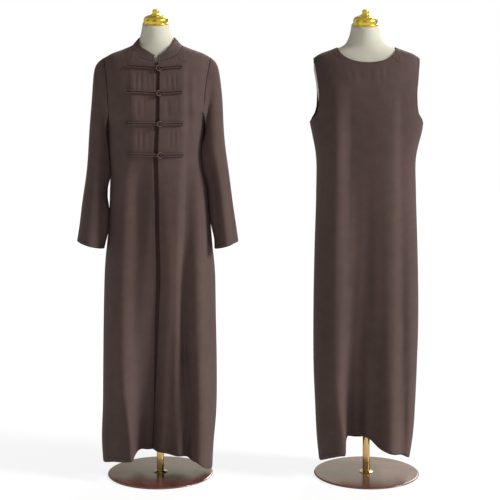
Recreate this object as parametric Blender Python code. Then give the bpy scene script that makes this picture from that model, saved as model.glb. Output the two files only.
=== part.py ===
"""Abaya set: an open-front abaya and the sleeveless dress worn under it, each on its own dress form.

Metres, +Z up, the garments face -Y. Right and left in the names are the wearer's right and left.
Every cloth piece is a thin wall on one body surface, read from short tables of cross sections.
"""
import math
from collections import namedtuple

import bmesh
import bpy
from mathutils import Vector
from mathutils.bvhtree import BVHTree

# Driving sizes. Heights in the tables below are read from a level FLOOR_Z under the floor
CLOTH = 0.0020
SEAM_GAP = 0.0003
FORM_SPACING = 0.7166
ABAYA_FORM_X = -0.3116
DRESS_FORM_X = ABAYA_FORM_X + FORM_SPACING
DRESS_LEAN = -0.0147

POLE_RADIUS = 0.0127
BASE_RADIUS = 0.182
BASE_HEIGHT = 0.0065
FLOOR_Z = 0.010
NECK_TOP = 1.546
NECK_CENTRE_Y = -0.0105
CAP_TILT = math.radians(11.0)
TILT_FROM = 1.508

# Grid sizes: columns are counted on half a panel, from its centre to its side seam
FRONT_COLUMNS = 13
BACK_COLUMNS = 9
NECK_COLUMNS = 5
SHOULDER_COLUMNS = BACK_COLUMNS - NECK_COLUMNS
SKIRT_ROWS = 13
ARMHOLE_ROWS = 9
SHOULDER_LEVELS = 8
FORM_SIDES = 24
LATHE_SIDES = 24
BASE_SIDES = 48
CORD_SIDES = 6
KNOT_SIDES = 8
KNOT_RINGS = 6

# How suddenly a shape fades out: folds at a side seam, an armhole's curve, a sleeve's fit to it
SEAM_FADE = 8
ARMHOLE_FADE = 4
SLEEVE_FADE = 4
SHARP_FROM = math.radians(40)

Level = namedtuple("Level", "z side front back power shift")
Fold = namedtuple("Fold", "top_x hem_x top_z half_width depth sharp")
Edge = namedtuple("Edge", "z x")
Hem = namedtuple("Hem", "x z")
Cuff = namedtuple("Cuff", "step outer_x outer_z inner_x inner_z front back")
Turning = namedtuple("Turning", "radius height")
Frog = namedtuple("Frog", "z rise")
NeckSeam = namedtuple("NeckSeam", "half_width front_z back_z")

# Cross sections of the form, from its underside to the top of its neck
FIGURE = [
    Level(0.742, 0.130, 0.080, 0.086, 2.3, 0.0),
    Level(0.752, 0.141, 0.088, 0.096, 2.3, 0.0),
    Level(0.800, 0.155, 0.095, 0.108, 2.3, 0.0),
    Level(0.870, 0.158, 0.099, 0.111, 2.3, 0.0),
    Level(0.960, 0.140, 0.097, 0.099, 2.3, 0.0),
    Level(1.060, 0.118, 0.090, 0.080, 2.3, 0.0),
    Level(1.140, 0.128, 0.099, 0.084, 2.3, 0.0),
    Level(1.235, 0.145, 0.112, 0.096, 2.4, 0.0),
    Level(1.300, 0.156, 0.105, 0.099, 2.4, 0.0),
    Level(1.370, 0.169, 0.089, 0.094, 2.4, 0.003),
    Level(1.400, 0.1755, 0.079, 0.087, 2.4, 0.004),
    Level(1.422, 0.1750, 0.0700, 0.078, 2.3, 0.004),
    Level(1.436, 0.1690, 0.0640, 0.072, 2.2, 0.004),
    Level(1.446, 0.1600, 0.0605, 0.067, 2.2, 0.004),
    Level(1.455, 0.1470, 0.0585, 0.0635, 2.1, 0.004),
    Level(1.465, 0.1220, 0.0575, 0.0605, 2.0, 0.004),
    Level(1.475, 0.0940, 0.0565, 0.0575, 2.0, 0.003),
    Level(1.485, 0.0722, 0.0560, 0.0550, 2.0, 0.002),
    Level(1.498, 0.0612, 0.0560, 0.0510, 2.0, 0.001),
    Level(1.518, 0.0512, 0.0560, 0.0445, 2.0, 0.0),
    Level(1.546, 0.0450, 0.0555, 0.0345, 2.0, 0.0),
]

# The dress hangs from the shoulders and the bust, a little wider at the hips than at the hem
DRESS = [
    Level(0.060, 0.1535, 0.118, 0.122, 2.4, -0.0085),
    Level(0.130, 0.1622, 0.119, 0.124, 2.4, -0.0065),
    Level(0.200, 0.1680, 0.120, 0.125, 2.4, -0.0045),
    Level(0.270, 0.1705, 0.121, 0.126, 2.4, -0.0040),
    Level(0.380, 0.1750, 0.122, 0.127, 2.4, -0.0036),
    Level(0.550, 0.1774, 0.123, 0.128, 2.4, -0.0010),
    Level(0.690, 0.1756, 0.124, 0.128, 2.4, 0.0),
    Level(0.830, 0.1718, 0.125, 0.127, 2.4, 0.0005),
    Level(0.967, 0.1669, 0.125, 0.118, 2.4, 0.0010),
    Level(1.080, 0.1648, 0.125, 0.111, 2.4, 0.0010),
    Level(1.130, 0.1676, 0.124, 0.109, 2.4, 0.0015),
    Level(1.170, 0.1734, 0.123, 0.107, 2.3, 0.0025),
    Level(1.218, 0.1868, 0.122, 0.106, 2.2, 0.0040),
    Level(1.270, 0.1885, 0.119, 0.107, 2.3, 0.0035),
    Level(1.311, 0.1890, 0.114, 0.108, 2.4, 0.0035),
    Level(1.370, 0.1850, 0.098, 0.103, 2.4, 0.0040),
    Level(1.400, 0.1800, 0.0885, 0.0955, 2.4, 0.0040),
    Level(1.430, 0.1775, 0.0770, 0.0845, 2.3, 0.0040),
    Level(1.444, 0.1735, 0.0715, 0.0785, 2.2, 0.0040),
    Level(1.455, 0.1520, 0.0680, 0.0735, 2.1, 0.0040),
    Level(1.465, 0.1250, 0.0660, 0.0695, 2.0, 0.0040),
    Level(1.475, 0.0977, 0.0640, 0.0660, 2.0, 0.0035),
    Level(1.485, 0.0760, 0.0625, 0.0620, 2.0, 0.0030),
]

# The abaya hangs wider, and is pressed in at the sides by its sleeves
ABAYA = [
    Level(0.050, 0.1870, 0.133, 0.138, 2.4, -0.0080),
    Level(0.130, 0.1915, 0.133, 0.139, 2.4, -0.0075),
    Level(0.200, 0.1940, 0.133, 0.139, 2.4, -0.0030),
    Level(0.270, 0.1942, 0.133, 0.139, 2.4, 0.0005),
    Level(0.410, 0.1930, 0.132, 0.138, 2.4, 0.0025),
    Level(0.620, 0.1888, 0.131, 0.137, 2.4, 0.0035),
    Level(0.730, 0.1860, 0.130, 0.134, 2.4, 0.0050),
    Level(0.790, 0.1790, 0.129, 0.130, 2.4, 0.0035),
    Level(0.870, 0.1670, 0.128, 0.127, 2.4, 0.0010),
    Level(0.930, 0.1625, 0.128, 0.122, 2.4, 0.0),
    Level(1.020, 0.1575, 0.128, 0.115, 2.4, -0.0010),
    Level(1.100, 0.1525, 0.128, 0.112, 2.4, -0.0040),
    Level(1.170, 0.1520, 0.127, 0.110, 2.4, -0.0040),
    Level(1.215, 0.1620, 0.126, 0.109, 2.4, 0.0),
    Level(1.250, 0.1780, 0.124, 0.109, 2.4, 0.0015),
    Level(1.300, 0.1860, 0.119, 0.109, 2.4, 0.0025),
    Level(1.370, 0.1850, 0.101, 0.104, 2.4, 0.0030),
    Level(1.400, 0.1820, 0.0900, 0.0965, 2.4, 0.0035),
    Level(1.430, 0.1785, 0.0780, 0.0855, 2.3, 0.0035),
    Level(1.444, 0.1740, 0.0720, 0.0790, 2.2, 0.0035),
    Level(1.455, 0.1520, 0.0685, 0.0740, 2.1, 0.0040),
    Level(1.465, 0.1250, 0.0665, 0.0700, 2.0, 0.0040),
    Level(1.475, 0.0985, 0.0650, 0.0665, 2.0, 0.0035),
    Level(1.485, 0.0775, 0.0635, 0.0635, 2.0, 0.0030),
    Level(1.498, 0.0655, 0.0620, 0.0590, 2.0, 0.0020),
    Level(1.518, 0.0565, 0.0605, 0.0520, 2.0, 0.0015),
]

# Armhole edges, from the underarm up to the shoulder tip
DRESS_ARMHOLE = [
    Edge(1.218, 0.1868), Edge(1.236, 0.1775), Edge(1.270, 0.1655), Edge(1.311, 0.1605),
    Edge(1.369, 0.1655), Edge(1.402, 0.1700), Edge(1.430, 0.1738), Edge(1.441, 0.1750),
]
ABAYA_ARMHOLE = [
    Edge(1.215, 0.1620), Edge(1.250, 0.1560), Edge(1.300, 0.1570), Edge(1.370, 0.1630),
    Edge(1.410, 0.1700), Edge(1.441, 0.1750),
]

# Largest folds: a trough has a positive depth and a ridge a negative one
DRESS_FRONT_FOLDS = [
    Fold(-0.020, -0.044, 1.16, 0.036, 0.078, 3.6),
    Fold(0.020, 0.016, 1.16, 0.036, 0.058, 2.0),
    Fold(0.062, 0.088, 1.30, 0.026, -0.010, 2.0),
    Fold(-0.060, -0.100, 1.24, 0.022, -0.008, 2.0),
    Fold(-0.110, -0.140, 1.20, 0.020, 0.008, 2.0),
    Fold(0.105, 0.128, 1.28, 0.014, 0.010, 2.0),
]
DRESS_BACK_FOLDS = [
    Fold(-0.085, -0.105, 1.22, 0.022, 0.020, 2.0),
    Fold(-0.045, -0.060, 1.05, 0.018, -0.010, 2.0),
    Fold(-0.005, -0.010, 1.25, 0.026, 0.028, 2.0),
    Fold(0.040, 0.050, 1.00, 0.018, -0.012, 2.0),
    Fold(0.080, 0.098, 1.20, 0.022, 0.022, 2.0),
]
ABAYA_FRONT_FOLDS = [
    Fold(-0.028, -0.040, 1.22, 0.041, 0.074, 4.0),
    Fold(0.018, 0.030, 1.20, 0.058, 0.058, 2.4),
    Fold(0.058, 0.108, 0.95, 0.014, 0.040, 2.0),
    Fold(0.120, 0.150, 1.15, 0.022, -0.014, 2.0),
    Fold(-0.120, -0.155, 1.15, 0.020, 0.010, 2.0),
    Fold(-0.090, -0.115, 1.20, 0.022, -0.010, 2.0),
]
ABAYA_BACK_FOLDS = [
    Fold(-0.100, -0.130, 1.20, 0.024, 0.026, 2.0),
    Fold(-0.060, -0.080, 1.00, 0.020, -0.012, 2.0),
    Fold(-0.015, -0.020, 1.28, 0.028, 0.034, 2.0),
    Fold(0.045, 0.055, 1.05, 0.020, -0.014, 2.0),
    Fold(0.090, 0.112, 1.18, 0.024, 0.028, 2.0),
]
FOLD_GROWTH = 1.7
FOLD_FOOT = 0.10

# Hem lines, as height over distance from the centre line
DRESS_FRONT_HEM = [
    Hem(-0.1535, 0.068), Hem(-0.139, 0.082), Hem(-0.108, 0.103), Hem(-0.085, 0.112), Hem(-0.070, 0.148),
    Hem(-0.060, 0.158), Hem(-0.030, 0.159), Hem(0.000, 0.159), Hem(0.016, 0.149), Hem(0.039, 0.128),
    Hem(0.073, 0.113), Hem(0.107, 0.102), Hem(0.1535, 0.076),
]
DRESS_BACK_HEM = [Hem(-0.1535, 0.068), Hem(-0.090, 0.110), Hem(0.090, 0.112), Hem(0.1535, 0.076)]
ABAYA_FRONT_HEM = [
    Hem(-0.187, 0.064), Hem(-0.152, 0.077), Hem(-0.120, 0.088), Hem(-0.087, 0.097), Hem(-0.060, 0.111),
    Hem(0.000, 0.111), Hem(0.029, 0.108), Hem(0.058, 0.103), Hem(0.085, 0.101), Hem(0.105, 0.093),
    Hem(0.133, 0.084), Hem(0.151, 0.070), Hem(0.169, 0.053), Hem(0.187, 0.038),
]
ABAYA_BACK_HEM = [Hem(-0.187, 0.064), Hem(-0.100, 0.080), Hem(0.100, 0.074), Hem(0.187, 0.038)]

# Front edges of the abaya, on the wearer's right and left front
RIGHT_FRONT_EDGE = [Edge(0.060, -0.0165), Edge(0.350, -0.0150), Edge(1.000, -0.0130), Edge(1.430, -0.0060)]
LEFT_FRONT_EDGE = [Edge(0.060, -0.0110), Edge(0.350, -0.0060), Edge(0.600, -0.0010), Edge(1.000, 0.0020),
                   Edge(1.430, 0.0060)]
UNDERLAP_SEAT = 0.0006
UNDERLAP_SET_BACK = 0.0035
UNDERLAP_TOP = 1.424
UNDERLAP_FADE = 0.08
UNDERLAP_HEM_SHARE = 0.05

# Neck seams: half width and height at the neck point, height at centre front and centre back
DRESS_NECK = NeckSeam(0.0950, 1.4290, 1.4640)
ABAYA_NECK = NeckSeam(0.0820, 1.4320, 1.4770)
COLLAR_TOP = NeckSeam(0.0590, 1.4530, 1.5120)
COLLAR_SIDE_Z = 1.5075
COLLAR_ROWS = 2
COLLAR_END = 0.10
COLLAR_SEAT = 0.0008
NECK_CROWDING = 1.6

# Sleeve rings from the armhole to the cuff, by their outermost and innermost points
SLEEVE_RIGHT = [
    Cuff(0, 0.1765, 1.4420, 0.1620, 1.2150, 0.066, 0.062),
    Cuff(1, 0.2010, 1.4200, 0.1680, 1.1850, 0.066, 0.062),
    Cuff(2, 0.2110, 1.3750, 0.1660, 1.1500, 0.068, 0.058),
    Cuff(3, 0.2165, 1.3000, 0.1650, 1.1100, 0.070, 0.052),
    Cuff(4, 0.2240, 1.2150, 0.1645, 1.0600, 0.072, 0.046),
    Cuff(5, 0.2300, 1.1300, 0.1660, 1.0050, 0.076, 0.042),
    Cuff(6, 0.2390, 1.0450, 0.1685, 0.9500, 0.081, 0.038),
    Cuff(7, 0.2515, 0.9650, 0.1720, 0.8950, 0.086, 0.034),
    Cuff(8, 0.2605, 0.8950, 0.1755, 0.8500, 0.090, 0.031),
    Cuff(9, 0.2705, 0.8330, 0.1785, 0.8080, 0.095, 0.028),
]
SLEEVE_LEFT = [
    Cuff(0, 0.1765, 1.4420, 0.1620, 1.2150, 0.066, 0.062),
    Cuff(1, 0.1985, 1.4200, 0.1655, 1.1850, 0.068, 0.062),
    Cuff(2, 0.2100, 1.3750, 0.1595, 1.1500, 0.074, 0.056),
    Cuff(3, 0.2185, 1.3000, 0.1565, 1.1100, 0.080, 0.048),
    Cuff(4, 0.2225, 1.2150, 0.1580, 1.0600, 0.084, 0.042),
    Cuff(5, 0.2300, 1.1300, 0.1625, 1.0050, 0.086, 0.038),
    Cuff(6, 0.2400, 1.0450, 0.1680, 0.9500, 0.088, 0.036),
    Cuff(7, 0.2510, 0.9650, 0.1750, 0.8950, 0.091, 0.033),
    Cuff(8, 0.2620, 0.8950, 0.1815, 0.8500, 0.094, 0.030),
    Cuff(9, 0.2715, 0.8330, 0.1870, 0.8080, 0.098, 0.027),
]

# Frog closures: height of the knot and how far the outer ends rise above it
FROGS = [Frog(1.411, 0.007), Frog(1.330, 0.006), Frog(1.230, 0.001), Frog(1.128, 0.001)]
FROG_KNOT_X = 0.0080
FROG_REACH_RIGHT = 0.0950
FROG_REACH_LEFT = 0.0870
FROG_CORD_RADIUS = 0.0026
FROG_CORD_SPACING = 0.0066
FROG_STEPS = 6
KNOT_RADIUS = 0.0052
KNOT_FLATNESS = 0.85
BIGHT_TURNS = range(60, 301, 40)
BIGHT_CLIMB = 3.2
BIGHT_GAP = 0.0014
OPENING_BRIDGE = 0.018
FROG_SEAT = 0.0011

# Turned profiles, from the foot up
BASE_PROFILE = [
    Turning(0.0, 0.0), Turning(BASE_RADIUS - 0.004, 0.0), Turning(BASE_RADIUS, 0.0025),
    Turning(BASE_RADIUS - 0.0012, 0.0050), Turning(BASE_RADIUS - 0.004, BASE_HEIGHT), Turning(0.0, BASE_HEIGHT),
]
COLLAR_RING_PROFILE = [
    Turning(0.0131, 0.0), Turning(0.0240, 0.0), Turning(0.0240, 0.0022), Turning(0.0185, 0.0045),
    Turning(0.0160, 0.0085), Turning(0.0131, 0.0085),
]
CAP_PROFILE = [
    Turning(0.0, 0.0), Turning(0.0452, 0.0), Turning(0.0468, 0.0024), Turning(0.0425, 0.0068),
    Turning(0.0440, 0.0170), Turning(0.0405, 0.0248), Turning(0.0310, 0.0292), Turning(0.0140, 0.0335),
    Turning(0.0120, 0.0375), Turning(0.0078, 0.0400), Turning(0.0104, 0.0465), Turning(0.0104, 0.0505),
    Turning(0.0, 0.0530),
]

# Colours as linear red, green and blue, with roughness and metallic
Finish = namedtuple("Finish", "colour roughness metallic")
FINISHES = {
    "cloth": Finish((0.080, 0.056, 0.048), 0.85, 0.0),
    "cord": Finish((0.060, 0.042, 0.036), 0.80, 0.0),
    "form_cloth": Finish((0.690, 0.655, 0.570), 0.90, 0.0),
    "gilt": Finish((0.760, 0.500, 0.080), 0.25, 1.0),
    "brass": Finish((0.640, 0.430, 0.170), 0.25, 1.0),
    "bronze": Finish((0.250, 0.190, 0.140), 0.15, 1.0),
}


class Table:
    """Smooth curves through the columns of a short table, keyed by its first column."""

    def __init__(self, rows):
        self.rows = sorted(rows, key=lambda row: row[0])
        self.keys = [row[0] for row in self.rows]
        self.slopes = {}

    def tangents(self, name):
        """Slopes at the rows, chosen so that the curve never swings past them."""
        if name not in self.slopes:
            values = [getattr(row, name) for row in self.rows]
            steps = [(values[i + 1] - values[i]) / (self.keys[i + 1] - self.keys[i])
                     for i in range(len(values) - 1)]
            inner = [0.0 if a * b <= 0.0 else 2.0 * a * b / (a + b) for a, b in zip(steps, steps[1:])]
            self.slopes[name] = [steps[0]] + inner + [steps[-1]]
        return self.slopes[name]

    def at(self, key, name):
        """The column's value at a key, held at the ends."""
        if key <= self.keys[0]:
            return getattr(self.rows[0], name)
        if key >= self.keys[-1]:
            return getattr(self.rows[-1], name)
        i = max(k for k in range(len(self.keys) - 1) if self.keys[k] <= key)
        tangents = self.tangents(name)
        width = self.keys[i + 1] - self.keys[i]
        t = (key - self.keys[i]) / width
        low, high = getattr(self.rows[i], name), getattr(self.rows[i + 1], name)
        return ((2 * t**3 - 3 * t**2 + 1) * low + (t**3 - 2 * t**2 + t) * width * tangents[i]
                + (3 * t**2 - 2 * t**3) * high + (t**3 - t**2) * width * tangents[i + 1])


def lerp(low, high, t):
    """The value a share t of the way from low to high."""
    return low + (high - low) * t


def neck_turn(first, k, count):
    """Turn round the neck seam at its k-th point, closer together towards the neck point."""
    return math.pi / 2 - (math.pi / 2 - first) * (1.0 - k / count) ** NECK_CROWDING


class Cut:
    """One garment's cut: its cross sections, armhole, neck seam, hems and folds."""

    def __init__(self, levels, armhole, neck, hems, folds):
        self.levels = Table(levels)
        self.armhole = Table(armhole)
        self.underarm = armhole[0].z
        self.tip = armhole[-1]
        self.neck = neck
        self.neck_point_z = self.ridge_z(neck.half_width)
        self.hems = {face: Table(rows) for face, rows in hems.items()}
        self.folds = folds

    def ridge_z(self, x):
        """Height at which the shoulder line is x from the centre."""
        low, high = self.levels.rows[-SHOULDER_LEVELS].z, self.levels.rows[-1].z
        for _ in range(30):
            middle = (low + high) / 2
            if self.levels.at(middle, "side") > x:
                low = middle
            else:
                high = middle
        return low

    def depth(self, x, z, face):
        """Distance of the plain body surface in front of or behind the centre plane."""
        power = self.levels.at(z, "power")
        reach = min(abs(x) / self.levels.at(z, "side"), 1.0)
        return self.levels.at(z, face) * (1.0 - reach**power) ** (1.0 / power)

    def fold(self, x, z, face):
        """How far the folds pull the surface in towards the centre plane."""
        total = 0.0
        for fold in self.folds[face]:
            down = min((fold.top_z - z) / (fold.top_z - FOLD_FOOT), 1.0)
            if down > 0.0:
                offset = abs(x - lerp(fold.top_x, fold.hem_x, down)) / fold.half_width
                total += fold.depth * down**FOLD_GROWTH * math.exp(-(offset**fold.sharp))
        return total

    def point(self, x, z, face):
        """The point of the body surface at a signed distance x from the centre line."""
        y = self.depth(x, z, face)
        side = self.levels.at(z, "side")
        near_seam = max(0.0, 1.0 - (min(abs(x) / side, 1.0)) ** SEAM_FADE)
        y -= self.fold(x, z, face) * near_seam
        sign = -1.0 if face == "front" else 1.0
        return Vector((x + self.levels.at(z, "shift"), sign * (y + SEAM_GAP / 2), z))

    def half(self, face, way, columns, start=None):
        """Rows of points on half a panel, from its start line to its side seam and armhole."""
        start = start or (lambda z: 0.0)
        spread = [math.sin(math.pi / 2 * k / columns) for k in range(columns + 1)]
        shoulder = columns - SHOULDER_COLUMNS
        rows = []
        for r in range(SKIRT_ROWS + 1):
            row = []
            for share in spread:
                foot = self.levels.rows[0].z
                foot_x = lerp(start(foot), self.levels.at(foot, "side"), share)
                z = lerp(self.hems[face].at(way * foot_x, "z"), self.underarm, r / SKIRT_ROWS)
                x = lerp(start(z), self.levels.at(z, "side"), share)
                row.append(self.point(way * x, z, face))
            rows.append(row)
        low = [lerp(start(self.underarm), self.tip_side(), share) for share in spread]
        for r in range(1, ARMHOLE_ROWS + 1):
            s = math.sin(math.pi / 2 * r / ARMHOLE_ROWS)
            row = []
            for k in range(columns + 1):
                top_x, top_z = self.top(face, k, columns, shoulder, start)
                z = lerp(self.underarm, top_z, s)
                x = lerp(low[k], top_x, s)
                edge_z = lerp(self.underarm, self.tip.z, s)
                bend = self.armhole.at(edge_z, "x") - lerp(low[-1], self.tip.x, s)
                x += bend * (k / columns) ** ARMHOLE_FADE
                row.append(self.point(way * x, z, face))
            rows.append(row)
        return rows

    def tip_side(self):
        """Half width of the body at the underarm."""
        return self.levels.at(self.underarm, "side")

    def top(self, face, k, columns, shoulder, start):
        """The k-th point of the top edge: along the neck seam, then along the shoulder."""
        neck = self.neck
        if k <= shoulder:
            drop = self.neck_point_z - (neck.front_z if face == "front" else neck.back_z)
            first = math.asin(start(neck.front_z) / neck.half_width)
            turn = neck_turn(first, k, shoulder)
            return neck.half_width * math.sin(turn), self.neck_point_z - drop * math.cos(turn)
        x = lerp(neck.half_width, self.tip.x, (k - shoulder) / (columns - shoulder))
        return x, self.ridge_z(x)

    def whole(self, face, columns):
        """Rows of a panel that runs from one side seam to the other."""
        left = self.half(face, 1, columns)
        right = self.half(face, -1, columns)
        return [list(reversed(b))[:-1] + a for a, b in zip(left, right)]


def normals(grid, closed):
    """Unit normals of a grid of points, all turned to the same side."""
    rows, columns = len(grid), len(grid[0])
    result = []
    for r in range(rows):
        line = []
        for c in range(columns):
            if closed:
                across = grid[r][(c + 1) % columns] - grid[r][c - 1]
            else:
                across = grid[r][min(c + 1, columns - 1)] - grid[r][max(c - 1, 0)]
            along = grid[min(r + 1, rows - 1)][c] - grid[max(r - 1, 0)][c]
            line.append(across.cross(along).normalized())
        result.append(line)
    return result


class Wall:
    """A cloth piece: its outer and inner points, in rows."""

    def __init__(self, grid, outward, closed=False, square=(), lift=0.0):
        """The grid is the inner face, lift is how far it is moved out first, and outward is a rough
        outward direction at its middle. square lists the edge points whose normal has one part
        taken out, so that two pieces meet face to face."""
        face = normals(grid, closed)
        middle = face[len(face) // 2][len(face[0]) // 2]
        sign = 1.0 if middle.dot(outward) > 0 else -1.0
        for r, c, axis in square:
            face[r][c][axis] = 0.0
            face[r][c].normalize()
        self.closed = closed
        self.inner = [[p + n * sign * lift for p, n in zip(*pair)] for pair in zip(grid, face)]
        self.outer = [[p + n * sign * (lift + CLOTH) for p, n in zip(*pair)] for pair in zip(grid, face)]

    @classmethod
    def between(cls, outer, inner):
        """A wall between two ready rows of points."""
        wall = cls.__new__(cls)
        wall.closed, wall.outer, wall.inner = False, outer, inner
        return wall

    def mesh(self, name):
        """One closed mesh with both faces and the rims between them."""
        work = bmesh.new()
        outer = [[work.verts.new(p) for p in row] for row in self.outer]
        inner = [[work.verts.new(p) for p in row] for row in self.inner]
        columns = len(outer[0])
        span = columns if self.closed else columns - 1
        for r in range(len(outer) - 1):
            for c in range(span):
                d = (c + 1) % columns
                work.faces.new((outer[r][c], outer[r][d], outer[r + 1][d], outer[r + 1][c]))
                work.faces.new((inner[r][c], inner[r + 1][c], inner[r + 1][d], inner[r][d]))
        for r, flip in ((0, True), (len(outer) - 1, False)):
            for c in range(span):
                d = (c + 1) % columns
                rim = (outer[r][c], outer[r][d], inner[r][d], inner[r][c])
                work.faces.new(tuple(reversed(rim)) if flip else rim)
        if not self.closed:
            for c, flip in ((0, False), (columns - 1, True)):
                for r in range(len(outer) - 1):
                    rim = (outer[r][c], outer[r + 1][c], inner[r + 1][c], inner[r][c])
                    work.faces.new(tuple(reversed(rim)) if flip else rim)
        return finish_mesh(work, name)


def finish_mesh(work, name):
    """A mesh from the working copy, with its faces turned outwards."""
    bmesh.ops.recalc_face_normals(work, faces=work.faces)
    if work.calc_volume(signed=True) < 0.0:
        bmesh.ops.reverse_faces(work, faces=work.faces)
    mesh = bpy.data.meshes.new(name)
    work.to_mesh(mesh)
    work.free()
    return mesh


def material(finish_name):
    """The finish's Principled material, made once."""
    if finish_name in bpy.data.materials:
        return bpy.data.materials[finish_name]
    finish = FINISHES[finish_name]
    result = bpy.data.materials.new(finish_name)
    result.use_nodes = True
    shader = result.node_tree.nodes["Principled BSDF"]
    shader.inputs["Base Color"].default_value = (*finish.colour, 1.0)
    shader.inputs["Roughness"].default_value = finish.roughness
    shader.inputs["Metallic"].default_value = finish.metallic
    return result


def place(name, mesh, finish_name, x=0.0, lean=0.0):
    """An object of its own, with its place and any lean of its form worked into its points."""
    for vertex in mesh.vertices:
        vertex.co.x += x + lean * vertex.co.z
    for polygon in mesh.polygons:
        polygon.use_smooth = True
    mesh.set_sharp_from_angle(angle=SHARP_FROM)
    item = bpy.data.objects.new(name, mesh)
    item.data.materials.append(material(finish_name))
    bpy.context.scene.collection.objects.link(item)
    return item


def turned(name, profile, sides=LATHE_SIDES, hollow=False):
    """A mesh turned about the Z axis from a profile; a hollow one joins its ends."""
    work = bmesh.new()
    rings = []
    for step in profile:
        if step.radius == 0.0:
            rings.append([work.verts.new((0.0, 0.0, step.height))])
            continue
        rings.append([work.verts.new((step.radius * math.cos(2 * math.pi * k / sides),
                                      step.radius * math.sin(2 * math.pi * k / sides), step.height))
                      for k in range(sides)])
    pairs = list(zip(rings, rings[1:]))
    if hollow:
        pairs.append((rings[-1], rings[0]))
    for low, high in pairs:
        for k in range(sides):
            n = (k + 1) % sides
            corners = [low[k % len(low)], low[n % len(low)], high[n % len(high)], high[k % len(high)]]
            work.faces.new(list(dict.fromkeys(corners)))
    return finish_mesh(work, name)


def figure_ring(level, sides):
    """Points round the form at one level, tipped forward near the top of the neck."""
    points = []
    for k in range(sides):
        turn = 2 * math.pi * k / sides
        c, s = math.cos(turn), math.sin(turn)
        bend = 2.0 / level.power
        x = level.side * math.copysign(abs(s) ** bend, s)
        depth = level.front if c > 0 else level.back
        y = -depth * math.copysign(abs(c) ** bend, c)
        tip = min(max((level.z - TILT_FROM) / (NECK_TOP - TILT_FROM), 0.0), 1.0)
        z = level.z + tip * math.tan(CAP_TILT) * (y - NECK_CENTRE_Y)
        points.append(Vector((x + level.shift, y, z)))
    return points


def torso_mesh(name):
    """The form's closed solid from its underside to the top of its neck."""
    work = bmesh.new()
    rings = [[work.verts.new(p) for p in figure_ring(level, FORM_SIDES)] for level in FIGURE]
    for low, high in zip(rings, rings[1:]):
        for k in range(FORM_SIDES):
            n = (k + 1) % FORM_SIDES
            work.faces.new((low[k], low[n], high[n], high[k]))
    for ring in (rings[0], rings[-1]):
        work.faces.new(ring)
    return finish_mesh(work, name)


def dress_form(prefix, x, lean):
    """A limbless form on its stand: torso, neck cap, pole, pole collar and base."""
    place(prefix + "_form_torso", torso_mesh(prefix + "_torso"), "form_cloth", x, lean)
    cap = turned(prefix + "_cap", CAP_PROFILE)
    for vertex in cap.vertices:
        y, z = vertex.co.y, vertex.co.z + SEAM_GAP
        vertex.co.y = NECK_CENTRE_Y + y * math.cos(CAP_TILT) - z * math.sin(CAP_TILT)
        vertex.co.z = NECK_TOP + y * math.sin(CAP_TILT) + z * math.cos(CAP_TILT)
    place(prefix + "_form_neck_cap", cap, "gilt", x, lean)
    foot, top = FLOOR_Z + BASE_HEIGHT + SEAM_GAP, FIGURE[0].z - SEAM_GAP
    pole = turned(prefix + "_pole", [Turning(0.0, foot), Turning(POLE_RADIUS, foot),
                                     Turning(POLE_RADIUS, top), Turning(0.0, top)])
    place(prefix + "_form_pole", pole, "brass", x, lean)
    ring = turned(prefix + "_pole_collar",
                  [Turning(s.radius, s.height + foot) for s in COLLAR_RING_PROFILE], hollow=True)
    place(prefix + "_form_pole_collar", ring, "brass", x + lean * foot)
    base = turned(prefix + "_base", [Turning(s.radius, s.height + FLOOR_Z) for s in BASE_PROFILE], BASE_SIDES)
    place(prefix + "_form_base", base, "bronze", x)


def seam_marks(rows, columns, side_columns):
    """Edge points that meet a neighbour face to face: side seams and shoulder seams."""
    marks = [(r, c, 1) for r in range(SKIRT_ROWS + 1) for c in side_columns]
    for c in range(columns):
        from_side = min(abs(c - s) for s in side_columns)
        if from_side <= SHOULDER_COLUMNS:
            marks.append((rows - 1, c, 1))
    return marks


def sleeve_wall(front, front_column, back, back_column, rings, way):
    """A sleeve from the armhole's own points down to the cuff."""
    low, high = SKIRT_ROWS, SKIRT_ROWS + ARMHOLE_ROWS
    ahead = [front.outer[r][front_column] for r in range(low, high + 1)]
    behind = [back.outer[r][back_column] for r in range(low, high + 1)]
    seam = [(ahead[0] + behind[0]) / 2] + ahead[1:-1] + [(ahead[-1] + behind[-1]) / 2]
    seam += list(reversed(behind[1:-1]))
    seam = [p + Vector((way * SEAM_GAP, 0.0, 0.0)) for p in seam]
    count = len(seam)
    first = cuff_ring(rings[0], count, way)
    grid = []
    for ring in rings:
        keep = (1.0 - ring.step / rings[-1].step) ** SLEEVE_FADE
        points = cuff_ring(ring, count, way)
        grid.append([p + (s - f) * keep for p, s, f in zip(points, seam, first)])
    square = [(0, c, 0) for c in range(count)]
    outward = grid[len(grid) // 2][count // 2] - grid[len(grid) // 2][0]
    return Wall(grid, outward, closed=True, square=square, lift=-CLOTH)


def cuff_ring(ring, count, way):
    """An oval ring of a sleeve, starting at its innermost point and going round by the front."""
    outer = Vector((way * ring.outer_x, 0.0, ring.outer_z))
    inner = Vector((way * ring.inner_x, 0.0, ring.inner_z))
    points = []
    for k in range(count):
        turn = 2 * math.pi * k / count
        point = (outer + inner) / 2 - (outer - inner) / 2 * math.cos(turn)
        point.y = (ring.back - ring.front) / 2 - (ring.back + ring.front) / 2 * math.sin(turn)
        points.append(point)
    return points


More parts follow.
